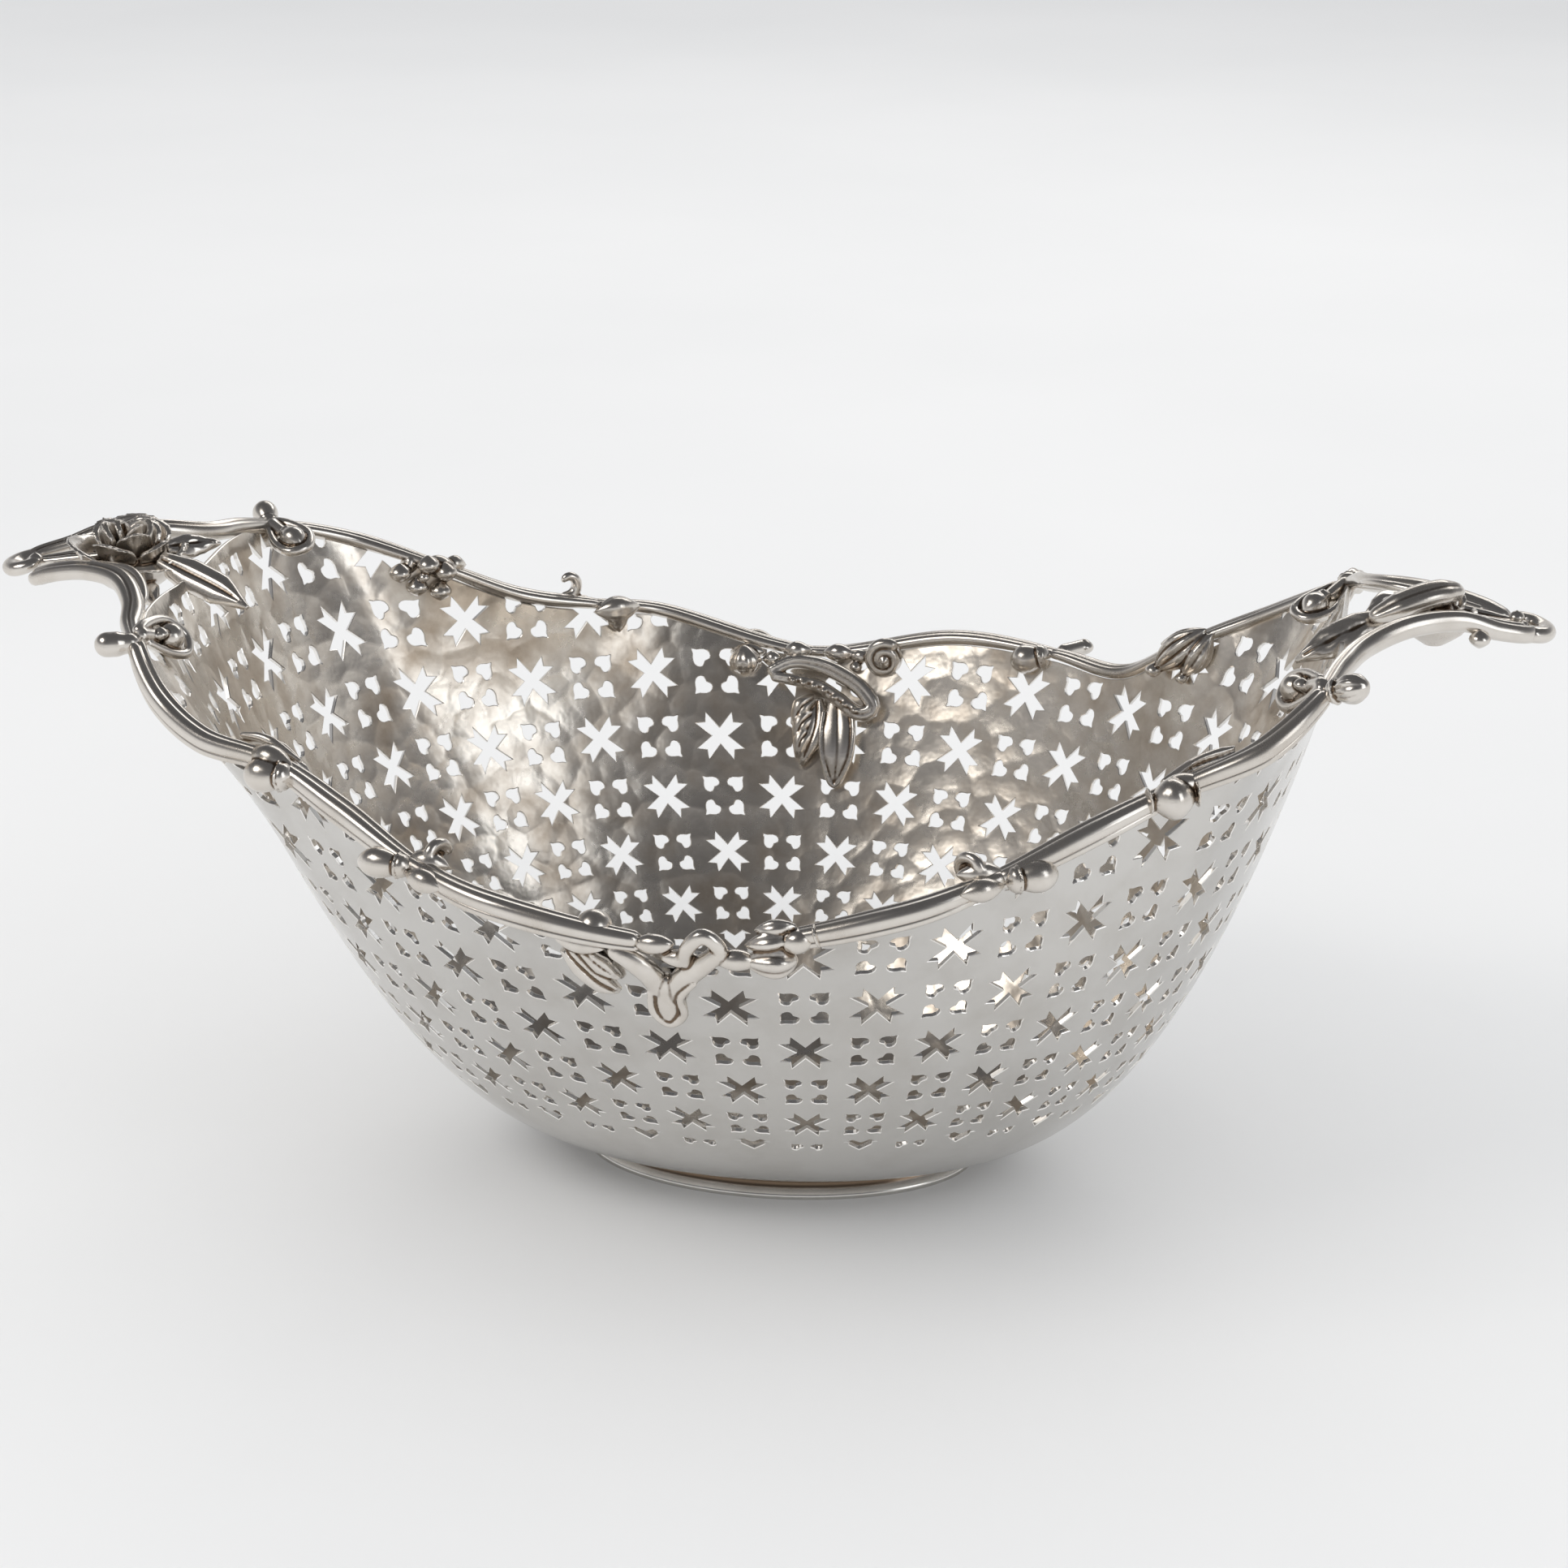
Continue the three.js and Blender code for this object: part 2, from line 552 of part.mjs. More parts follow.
function bowlBody() {
  const triangles = [];
  const outside = (spot) => wallPoint(spot.x, spot.y);
  const inside = (spot) => offWall(spot.x, spot.y, -SHEET);
  const spot = (turn, z) => new THREE.Vector2(turn, z);
  const floorMiddle = oval(FOOT_HEIGHT).middle;
  const lineTurns = Array.from({ length: COLUMNS + 1 }, (_, column) => turnOfLine(column));
  const tops = lineTurns.map((turn) => edgeHeight(turn));
  const fits = (row, column) => rowHeight(row, lineTurns[column]) < tops[column] - EDGE_MARGIN;
  for (let column = 0; column < COLUMNS; column++) {
    const [left, right] = [lineTurns[column], lineTurns[column + 1]];
    const floorZ = (ring, turn) => {
      const share = (ring / FLOOR_RINGS) ** 2;
      return THREE.MathUtils.lerp(FOOT_HEIGHT, rowHeight(0, turn), share);
    };
    const low = [spot(left, FOOT_HEIGHT), spot(right, FOOT_HEIGHT)];
    const under = point(floorMiddle, 0, FOOT_HEIGHT);
    const over = point(floorMiddle, 0, FOOT_HEIGHT + SHEET);
    triangles.push([under, outside(low[1]), outside(low[0])]);
    triangles.push([over, inside(low[0]), inside(low[1])]);
    for (let ring = 0; ring < FLOOR_RINGS; ring++) {
      const outline = [
        spot(left, floorZ(ring, left)),
        spot(right, floorZ(ring, right)),
        spot(right, floorZ(ring + 1, right)),
        spot(left, floorZ(ring + 1, left)),
      ];
      triangles.push(...cellTriangles(outline, null, inside, outside));
    }
    let row = 0;
    while (row + 1 < ROW_LINES.length && fits(row + 1, column) && fits(row + 1, column + 1)) {
      const outline = [
        spot(left, rowHeight(row, left)),
        spot(right, rowHeight(row, right)),
        spot(right, rowHeight(row + 1, right)),
        spot(left, rowHeight(row + 1, left)),
      ];
      const isCross = (column + row) % 2 === 1;
      let motif = isCross ? crossMotif() : quatrefoilMotif();
      if (row === 0) motif = halfMotif(isCross);
      const placed = motif.map((corner) => {
        const turn = THREE.MathUtils.lerp(left, right, corner.x + 0.5);
        const z = THREE.MathUtils.lerp(rowHeight(row, turn), rowHeight(row + 1, turn), corner.y + 0.5);
        return spot(turn, z);
      });
      triangles.push(...cellTriangles(outline, placed, inside, outside));
      row++;
    }
    // What is left of the column up to the edge, with any row line that a neighbour still has.
    const middle = (left + right) / 2;
    const onLine = (line) => {
      const heights = [];
      for (let next = row; next < ROW_LINES.length && (next === row || fits(next, line)); next++)
        heights.push(rowHeight(next, lineTurns[line]));
      return [...heights, tops[line]];
    };
    const leftSide = onLine(column).map((z) => spot(left, z));
    const rightSide = onLine(column + 1).map((z) => spot(right, z));
    const top = spot(middle, edgeHeight(middle));
    triangles.push(...cellTriangles([...rightSide, top, ...leftSide.reverse()], null, inside, outside));
    const edge = [spot(left, tops[column]), top, spot(right, tops[column + 1])];
    for (let i = 0; i < 2; i++) {
      triangles.push([outside(edge[i]), outside(edge[i + 1]), inside(edge[i + 1])]);
      triangles.push([outside(edge[i]), inside(edge[i + 1]), inside(edge[i])]);
    }
  }
  return solidOf(geometryOfTriangles(triangles));
}

// The unpierced sheet with the seat gap on both faces, which cuts the ornaments that lie against it.
function sheetSeat() {
  const turns = COLUMNS * 2;
  const levels = 10;
  const bottom = ROW_LINES[1];
  const grid = (out, raise) =>
    Array.from({ length: turns }, (_, i) => {
      const turn = turnOfLine(i / 2);
      const top = edgeHeight(turn) + EDGE_CHORD + raise;
      return Array.from({ length: levels + 1 }, (_, k) => {
        return offWall(turn, THREE.MathUtils.lerp(bottom, top, k / levels), out);
      });
    });
  const clear = SEAT_GAP + SHEET_CHORD;
  const outer = grid(clear, clear);
  const inner = grid(-SHEET - clear, clear);
  const rings = [];
  for (let k = 0; k <= levels; k++) rings.push(outer.map((line) => line[k]));
  for (let k = levels; k >= 0; k--) rings.push(inner.map((line) => line[k]));
  rings.push(rings[0]);
  const triangles = [];
  for (let i = 0; i + 1 < rings.length; i++) {
    for (let k = 0; k < turns; k++) {
      const next = (k + 1) % turns;
      triangles.push([rings[i][k], rings[i][next], rings[i + 1][next]]);
      triangles.push([rings[i][k], rings[i + 1][next], rings[i + 1][k]]);
    }
  }
  return solidOf(geometryOfTriangles(triangles));
}

// The foot: an oval collar with a bead and a drawn-in waist, flat underneath, seated under the bowl's floor.
function footRing() {
  const top = FOOT_HEIGHT - SEAT_GAP;
  const middle = oval(FOOT_HEIGHT).middle;
  const profile = [
    [0, 0],
    [0, FOOT_BEAD_HEIGHT],
    [-FOOT_WAIST, FOOT_WAIST_HEIGHT],
    [-FOOT_WAIST, top],
    [-FOOT_WAIST - FOOT_WALL, top],
    [-FOOT_WAIST - FOOT_WALL, FOOT_WAIST_HEIGHT],
    [-FOOT_WALL, 0],
  ];
  const sides = 36;
  const rings = profile.map(([out, z]) =>
    Array.from({ length: sides }, (_, i) => {
      const turn = (i / sides) * FULL_TURN;
      const x = middle + (FOOT_HALF_LENGTH + out) * Math.cos(turn);
      return point(x, (FOOT_HALF_WIDTH + out) * Math.sin(turn), z);
    }),
  );
  const triangles = [];
  rings.forEach((ring, i) => {
    const above = rings[(i + 1) % rings.length];
    ring.forEach((corner, k) => {
      const next = (k + 1) % sides;
      triangles.push([corner, ring[next], above[next]]);
      triangles.push([corner, above[next], above[k]]);
    });
  });
  return solidOf(geometryOfTriangles(triangles));
}

// Rim stations and their frames

const indexOf = (name) => RIM_ROUTE.findIndex(([label]) => label === name);
const stationPoint = (name) => rimPoints[indexOf(name)];

// A point by its distance away from the bowl's middle in x and in y, in bud radii.
function corner(name, [dx, dy, dz]) {
  const at = stationPoint(name).clone();
  return at.addScaledVector(point(Math.sign(at.x) * dx, Math.sign(at.y) * dy, dz), BUD_RADIUS);
}

// A point in the rim's own frame: towards the bowl's end, out of the bowl, and up, in bud radii.
function beside(name, [endward, out, up]) {
  const at = stationPoint(name);
  const along = rimCurve.getTangent(indexOf(name) / RIM_ROUTE.length);
  along.z = 0;
  along.normalize();
  const outward = along.clone().cross(UP);
  if (along.x * at.x < 0) along.negate();
  const step = along.multiplyScalar(endward).addScaledVector(outward, out).addScaledVector(UP, up);
  return at.clone().addScaledVector(step, BUD_RADIUS);
}

// A point off the rim's middle line at x on a long side: out of the bowl and up, in crest sizes.
function alongRim(side, x, out, up) {
  const turn = turnAt(CREST_SIZE * x, SIDE_HEIGHT, side);
  const step = 0.01;
  const along = rimAt(turn + step).sub(rimAt(turn - step));
  along.z = 0;
  const outward = along.normalize().cross(UP);
  return rimAt(turn).addScaledVector(outward, out * CREST_SIZE).addScaledVector(UP, up * CREST_SIZE);
}

function lump(station, [base, tip, radius]) {
  const sides = radius < 0.9 ? 6 : 8;
  return bud(beside(station, base), beside(station, tip), radius * BUD_RADIUS, sides);
}

const root = (station, radius) => ball(stationPoint(station), radius + ROOT_MARGIN, 6);

// The stretch of the rim between two stations, as a curve of its own.
class RimStretch extends THREE.Curve {
  constructor(from, to) {
    super();
    this.from = indexOf(from) / RIM_ROUTE.length;
    this.to = indexOf(to) / RIM_ROUTE.length;
  }

  getPoint(share, target = new THREE.Vector3()) {
    return target.copy(rimCurve.getPoint(THREE.MathUtils.lerp(this.from, this.to, share)));
  }
}

// Assembly

const bowl = new THREE.Group();
const seats = new Map();
const sheetCut = sheetSeat();

function addMesh(name, solid, look) {
  const mesh = new THREE.Mesh(geometryOf(solid), new THREE.MeshStandardMaterial(look));
  mesh.name = name;
  bowl.add(mesh);
}

// Crossing seats can leave a crumb of metal between them, which is filed off.
const withoutCrumbs = (solid) => joined(solid.decompose().filter((body) => body.volume() > CRUMB_VOLUME));

// A soldered piece: its forms joined, less the seats of the pieces it meets and of the sheet.
function addPiece(name, forms, { against = [], onSheet = false, look = SILVER } = {}) {
  let solid = joined(forms.map((form) => form(0)));
  for (const neighbour of against) solid = solid.subtract(seats.get(neighbour));
  if (onSheet) solid = solid.subtract(sheetCut);
  seats.set(name, joined(forms.map((form) => form(SEAT_GAP))));
  addMesh(name, withoutCrumbs(solid), look);
}

// A knob holds the root ball that the bar, the rail and the scroll of its corner end on.
function addKnobsAndScrolls() {
  for (const quadrant of QUADRANTS) {
    const station = "knob_" + quadrant;
    const { base, tip } = KNOBS[quadrant];
    const knob = bud(corner(station, base), corner(station, tip), BUD_RADIUS);
    addPiece("handle_knob_" + quadrant, [knob, root(station, BAR_RADIUS)], { onSheet: true });
    const [dx, dy, dz] = INNER_BUDS[quadrant];
    const finish = corner(station, [dx, dy, dz]);
    const curl = new THREE.CatmullRomCurve3([
      corner(station, [0, -0.33, 0.4]),
      corner(station, [dx * 0.35, dy * 0.7, 0.8]),
      finish,
    ]);
    const budFoot = corner(station, [dx - 0.33, dy - 0.2, dz - 1.13]);
    const budTop = finish.clone().lerp(budFoot, -0.6);
    const scroll = [tube(curl, SCROLL_RADIUS, 6, 6), bud(budTop, budFoot, BUD_RADIUS)];
    addPiece("inner_scroll_" + quadrant, scroll, {
      against: ["handle_knob_" + quadrant],
      onSheet: true,
      look: WORN_SILVER,
    });
  }
}

function addKnots() {
  for (const quadrant of QUADRANTS) {
    const station = "knot_" + quadrant;
    const lumps = KNOTS[quadrant].map((form) => lump(station, form));
    addPiece("rim_knot_" + quadrant, [root(station, RAIL_RADIUS), ...lumps], { onSheet: true });
  }
  const addLeaf = (quadrant, points, widths) => {
    const station = "knot_" + quadrant;
    const inward = beside(station, [0, -1, 0.5]).sub(stationPoint(station));
    const blade = strap(
      points.map((at) => beside(station, at)),
      [inward, inward],
      widths.map((width) => width * BUD_RADIUS),
      STRAP_HALF_THICKNESS,
      6,
    );
    addPiece("knot_leaf_" + quadrant, [blade], {
      against: ["rim_knot_" + quadrant],
      onSheet: true,
      look: WORN_SILVER,
    });
  };
  const leftRoute = [[2.67, -1.07, 0.5], [1, -1.33, 0.07], [-1.33, -1.4, -1.07]];
  const rightRoute = [[-0.67, -1.2, -0.2], [1.33, -1.47, 0.4], [3.5, -1.47, 1.07]];
  addLeaf("near_left", leftRoute, [0.35, 1.03, 1.07, 0.2]);
  addLeaf("near_right", rightRoute, [0.35, 1.1, 1.07, 0.2]);
}

function addJointBuds() {
  for (const quadrant of QUADRANTS) {
    const station = "joint_" + quadrant;
    const outer = OUTER_BUDS[quadrant].map((form) => lump(station, form));
    if (quadrant === "far_left") {
      const hook = new THREE.CatmullRomCurve3(HOOK.map((at) => beside(station, at)));
      outer.push(tube(hook, HOOK_RADIUS, 10, 6));
    }
    addPiece("outer_bud_" + quadrant, [root(station, RAIL_RADIUS), ...outer], { onSheet: true });
    const inner = JOINT_BUDS[quadrant].map((form) => lump(station, form));
    addPiece("inner_bud_" + quadrant, inner, { against: ["outer_bud_" + quadrant], onSheet: true });
  }
}

// Places on the sheet by x along the side and rise over the side's height, in crest sizes.
const onCrest = (side, out) => (x, rise, further = 0) =>
  onSide(side, CREST_SIZE * x, SIDE_HEIGHT + CREST_SIZE * rise, out + side * -further);

const crestBud = (side, base, tip, radius, sides = 8) =>
  bud(alongRim(side, ...base), alongRim(side, ...tip), radius * CREST_SIZE, sides);

function crestStrap(points, facing, widths) {
  const halfWidths = widths.map((width) => width * CREST_SIZE);
  return strap(points, [facing, facing], halfWidths, STRAP_HALF_THICKNESS, 6);
}

// Near crest, on the outside of the wall: a ribbon with two arms and a tongue, a leaf, a dome and a shell.
function addNearCrest() {
  const flat = onCrest(NEAR, STRAP_HALF_THICKNESS + SEAT_GAP);
  const facing = point(0, -1, 0.1);
  function arm(x0, z0, x1, z1) {
    const raised = flat((x0 + x1) / 2, (z0 + z1) / 2, SEAT_GAP);
    return crestStrap([flat(x0, z0), raised, flat(x1, z1)], facing, [0.1, 0.1, 0.12]);
  }
  const tongueRoute = [flat(-0.24, -0.45), flat(-0.23, -0.65), flat(-0.215, -0.85)];
  const tongue = crestStrap(tongueRoute, facing, [0.14, 0.14, 0.11]);
  addPiece("crest_near_ribbon", [arm(-0.54, -0.15, -0.26, -0.5), arm(0.22, -0.13, -0.22, -0.5), tongue], {
    onSheet: true,
  });
  const blade = [flat(-1.22, -0.18), flat(-1.05, -0.26), flat(-0.86, -0.36), flat(-0.69, -0.47)];
  addPiece("crest_near_leaf", [crestStrap(blade, facing, [0.06, 0.14, 0.13, 0.06])], {
    against: ["crest_near_ribbon"],
    onSheet: true,
  });
  const dome = crestBud(NEAR, [-0.99, -0.13, -0.13], [-0.99, -0.13, 0.2], 0.17);
  addPiece("crest_near_dome", [dome], { onSheet: true });
  const shell = crestBud(NEAR, [0.425, 0.07, -0.107], [0.95, 0.07, -0.125], 0.15);
  const fluted = crestBud(NEAR, [0.575, 0.03, 0.06], [0.975, 0.03, 0.04], 0.12, 6);
  addPiece("crest_near_shell", [shell, fluted], { onSheet: true });
}

// Far crest, on the inside of the wall: a twisted loop, two leaves, a ball and a snail.
function addFarCrest() {
  const onLoop = onCrest(FAR, -SHEET - TWIST_RADIUS - SEAT_GAP);
  const loop = new THREE.CatmullRomCurve3([
    onLoop(-0.43, -0.28),
    onLoop(0, -0.22),
    onLoop(0.425, -0.24),
    onLoop(0.75, -0.42),
    onLoop(0.72, -0.61),
    onLoop(0.4, -0.63),
    onLoop(0.11, -0.48),
  ]);
  addPiece("crest_far_loop", [tube(loop, TWIST_RADIUS, 12, 6)], { onSheet: true });
  const flat = onCrest(FAR, -SHEET - STRAP_HALF_THICKNESS - SEAT_GAP);
  const facing = point(0, -1, 0.2);
  const flutedRoute = [flat(0.06, -0.57), flat(0.065, -0.85), flat(0.07, -1.12)];
  const fluted = crestStrap(flutedRoute, facing, [0.08, 0.14, 0.04]);
  addPiece("crest_far_fluted_leaf", [fluted], { against: ["crest_far_loop"], onSheet: true });
  const pointedRoute = [flat(0.35, -0.71), flat(0.355, -1.02), flat(0.36, -1.32)];
  const pointed = crestStrap(pointedRoute, facing, [0.1, 0.145, 0.025]);
  addPiece("crest_far_pointed_leaf", [pointed], {
    against: ["crest_far_loop", "crest_far_fluted_leaf"],
    onSheet: true,
  });
  const ribbed = crestBud(FAR, [-0.77, -0.34, -0.385], [-0.77, -0.34, -0.065], 0.16);
  addPiece("crest_far_ball", [ribbed], { against: ["crest_far_loop"], onSheet: true });
  const snail = crestBud(FAR, [0.62, -0.22, -0.064], [1.05, -0.22, -0.088], 0.15);
  addPiece("crest_far_snail", [snail], { against: ["crest_far_loop"], onSheet: true });
}

// Rails: each runs between two stations and stops at the pieces that it meets there. One has a curl outside.
function addRails() {
  const ornaments = [...seats.keys()];
  for (const quadrant of QUADRANTS) {
    const crest = quadrant.startsWith("far") ? "crest_far" : "crest_near";
    const stretches = [
      ["end", "knob_" + quadrant, "knot_" + quadrant],
      ["middle", "knot_" + quadrant, "joint_" + quadrant],
      ["centre", "joint_" + quadrant, crest],
    ];
    for (const [place, from, to] of stretches) {
      const atCrest = place === "centre";
      const met = ornaments.filter((name) => name.endsWith(quadrant) || (atCrest && name.startsWith(crest)));
      const [sideName] = quadrant.split("_");
      const facingRails = ["left", "right"].map((hand) => "rim_rail_centre_" + sideName + "_" + hand);
      if (atCrest) met.push(...facingRails.filter((name) => seats.has(name)));
      const stretch = new RimStretch(from, to);
      const forms = [tube(stretch, RAIL_RADIUS, Math.round(stretch.getLength() / RAIL_FACET_LENGTH))];
      if (atCrest && quadrant === "far_left")
        forms.push(crestBud(FAR, [-0.93, 0.11, -0.03], [-0.57, 0.11, -0.03], 0.08, 6));
      addPiece("rim_rail_" + place + "_" + quadrant, forms, { against: met });
    }
  }
}

// Handles. Each is made in the frame of the right one and turned half round for the left.
function addHandle(side, quarterLong, quarterShort) {
  const half = side === "right" ? 1 : -1;
  const longFoot = stationPoint("knob_" + quarterLong);
  const shortFoot = stationPoint("knob_" + quarterShort);
  const spread = Math.abs(longFoot.y);
  const rimEnd = point(half * END_HALF_LENGTH, 0, END_HEIGHT);
  // A place by shares of the reach, the spread and the rise, and one by steps in a given unit from a point,
  // where a step in y is towards the far side at both ends.
  const place = ([x, y, z]) =>
    rimEnd.clone().add(point(half * x * HANDLE_REACH, half * y * spread, z * HANDLE_RISE));
  const from = (at, unit) => ([x, y, z]) => at.clone().addScaledVector(point(half * x, y, z), unit);
  const longBar = new THREE.CatmullRomCurve3([longFoot, ...LONG_BAR.map(place)]);
  const shortBar = new THREE.CatmullRomCurve3([shortFoot, ...SHORT_BAR.map(place)]);
  const name = (piece) => "handle_" + piece + "_" + side;
  const feet = [quarterLong, quarterShort].flatMap((quarter) => [
    "handle_knob_" + quarter,
    "inner_scroll_" + quarter,
    "rim_rail_end_" + quarter,
  ]);

  const barEnd = longBar.getPoint(1);
  const curlEnd = barEnd.clone().add(point(half * -0.2 * TIP_CURL_LENGTH, half * 0.8 * TIP_CURL_LENGTH, 0));
  addPiece(name("tip"), [ball(barEnd, BAR_RADIUS + ROOT_MARGIN), bud(barEnd, curlEnd, TIP_CURL_RADIUS)]);
  const bead = ball(place([0.656, -0.278, 0.351]), BEAD_RADIUS, 6);
  addPiece(name("long_bar"), [tube(longBar, BAR_RADIUS, 14), bead], {
    against: [...feet, name("tip")],
    onSheet: true,
  });
  addPiece(name("short_bar"), [tube(shortBar, BAR_RADIUS, 11)], {
    against: [...feet, name("tip"), name("long_bar")],
    onSheet: true,
  });

  const flower = FLOWERS[side];
  const middle = place([flower.rose, 0, 1.105]);
  const onRose = (turn, reach, rise) =>
    middle.clone().add(point(half * reach * Math.cos(turn), half * reach * Math.sin(turn), rise));
  const petals = Array.from({ length: PETALS }, (_, i) => {
    const turn = ((i + 0.5) / PETALS) * FULL_TURN;
    const spreadTurn = 0.5;
    const ends = [turn - spreadTurn, turn + spreadTurn].map((at) => onRose(at, PETAL_RING, -PETAL_DROP));
    return bud(...ends, PETAL_RADIUS, 6);
  });
  const heart = bud(onRose(0, 0, -ROSE_HALF_HEIGHT), onRose(0, 0, ROSE_HALF_HEIGHT), ROSE_RADIUS);
  const leaf = (at, unit, points, halfWidth, widths) =>
    strap(
      points.map(from(at, unit)),
      [UP, UP],
      widths.map((width) => width * halfWidth),
      LEAF_HALF_THICKNESS,
      5,
    );
  const calyxRoute = [[-0.385, -0.48, -0.22], [-0.71, -0.96, -0.375], [-0.83, -1.385, -0.53]];
  const calyx = leaf(middle, CALYX_LENGTH, calyxRoute, CALYX_HALF_WIDTH, [0.9, 1, 0.22]);
  addPiece(name("rose"), [heart, ...petals, calyx], {
    against: [name("long_bar"), name("short_bar")],
    onSheet: true,
    look: WORN_SILVER,
  });
  const stemRoute = [[0.923, 0.024, 0.246], [0.765, 0.015, 0.351], [0.459, 0.005, 0.772]];
  addPiece(name("stem"), [tube(new THREE.CatmullRomCurve3(stemRoute.map(place)), STEM_RADIUS, 6, 6)], {
    against: [name("tip"), name("long_bar"), name("short_bar"), name("rose")],
    look: WORN_SILVER,
  });
  const large = leaf(rimEnd, LARGE_LEAF_LENGTH, flower.large, LARGE_LEAF_HALF_WIDTH, [0.55, 1, 0.91, 0.11]);
  addPiece(name("large_leaf"), [large], {
    against: [name("rose")],
    onSheet: true,
    look: WORN_SILVER,
  });
  const small = leaf(rimEnd, SMALL_LEAF_LENGTH, flower.small, SMALL_LEAF_HALF_WIDTH, [0.63, 1, 0.16]);
  addPiece(name("small_leaf"), [small], {
    against: [name("rose"), name("large_leaf")],
    onSheet: true,
    look: WORN_SILVER,
  });
}

addMesh("bowl_body", bowlBody(), SILVER);
addMesh("foot_ring", footRing(), DARK_SILVER);
addKnobsAndScrolls();
addKnots();
addJointBuds();
addNearCrest();
addFarCrest();
addRails();
addHandle("right", "near_right", "far_right");
addHandle("left", "far_left", "near_left");

export default bowl;
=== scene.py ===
# Oval fruit bowl of pierced silver on a low foot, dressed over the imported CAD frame.
# Shapes are worked out in millimetres, +Z up, and become metres when a mesh is made.
import math

import bpy
import numpy as np
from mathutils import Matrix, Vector
from mathutils.geometry import delaunay_2d_cdt


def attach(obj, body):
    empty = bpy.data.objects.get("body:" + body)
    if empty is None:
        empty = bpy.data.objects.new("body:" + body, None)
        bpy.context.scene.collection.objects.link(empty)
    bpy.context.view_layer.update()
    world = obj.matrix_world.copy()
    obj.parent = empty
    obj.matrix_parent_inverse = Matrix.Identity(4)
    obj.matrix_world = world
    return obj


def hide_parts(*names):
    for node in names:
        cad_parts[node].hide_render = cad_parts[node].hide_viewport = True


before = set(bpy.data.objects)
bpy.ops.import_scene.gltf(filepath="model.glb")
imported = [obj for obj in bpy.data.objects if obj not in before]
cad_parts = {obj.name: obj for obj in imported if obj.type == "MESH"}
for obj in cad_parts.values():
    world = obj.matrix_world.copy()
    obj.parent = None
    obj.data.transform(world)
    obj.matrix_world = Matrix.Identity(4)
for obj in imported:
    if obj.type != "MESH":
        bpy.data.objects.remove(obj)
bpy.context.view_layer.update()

MM = 0.001
TAU = 2 * math.pi
QUARTER_TURN = math.pi / 2
UP = np.array([0.0, 0.0, 1.0])
TINY = 1e-9

# Foot and sheet
FOOT_HEIGHT = 6.0
FOOT_HALF_LENGTH = 43
FOOT_HALF_WIDTH = 26
FOOT_LEAN = 5
FOOT_SIDES = 144
# The foot's section, as places outwards from its oval and up.
FOOT_SECTION = [(0, 0), (0.25, 0.35), (0.3, 0.8), (0.05, 1.3), (-0.7, 1.9), (-1.25, 2.7),
                (-1.45, 3.6), (-1.45, 4.6), (-1.1, 5.4), (-0.5, 5.9), (-3.2, 5.9), (-4.0, 5.0),
                (-4.0, 2.9), (-3.2, 1.4), (-2.6, 0.3), (-2.3, 0)]
END_HALF_LENGTH = 122
END_HEIGHT = 126
SIDE_HALF_WIDTH = 83
SIDE_HEIGHT = 85
END_FLARE = 0.46
SIDE_FLARE = 0.57
LIP_SHARPNESS = 6
SHEET = 1.1
EDGE_ROUNDING = 0.16

# Piercing
COLUMNS = 44
FIRST_COLUMN = -80
COLUMN_DRIFT = 2.75
MOTIF_SIZE = (1.12, 1.1)
PATTERN_BOTTOM = 28.4
PATTERN_TOP = END_HEIGHT + 12
CLIMB_STEP = 0.25
HALF_ROW_HEIGHT = 5.8
CELL_ASPECT = 1.079
END_LIFT = 0.09
BORDER_STEPS = 4
EDGE_POINTS = 9
LEAST_SPACING = 0.07
KEYS_PER_CELL = 100000
FLOOR_RINGS = 14
DISC_RINGS = (0.75, 0.5, 0.25)

# Rim
EDGE_UNDER_RAIL = 1.5
EDGE_GAP = 0.1
EDGE_RISE_TURN = 7
RAIL_STEPS = 44
RUN_ON_SAMPLES = 20
# Each reed's middle outwards of and above the rail's line, and its radius.
NEAR_REEDS = ((0.55, 0.15, 1.95), (-1.35, 0.75, 1.25), (1.25, -1.75, 0.95))
FAR_REEDS = ((0.7, 0.1, 1.8), (-1.25, 0.35, 1.3), (-0.2, 1.15, 0.75))
CREST_TRIMS = {"far_right": -1.5, "far_left": -1.5, "near_left": 10.0, "near_right": 17.0}

HANDLE_REACH = 39.2
TARNISH_GAIN = 18.0

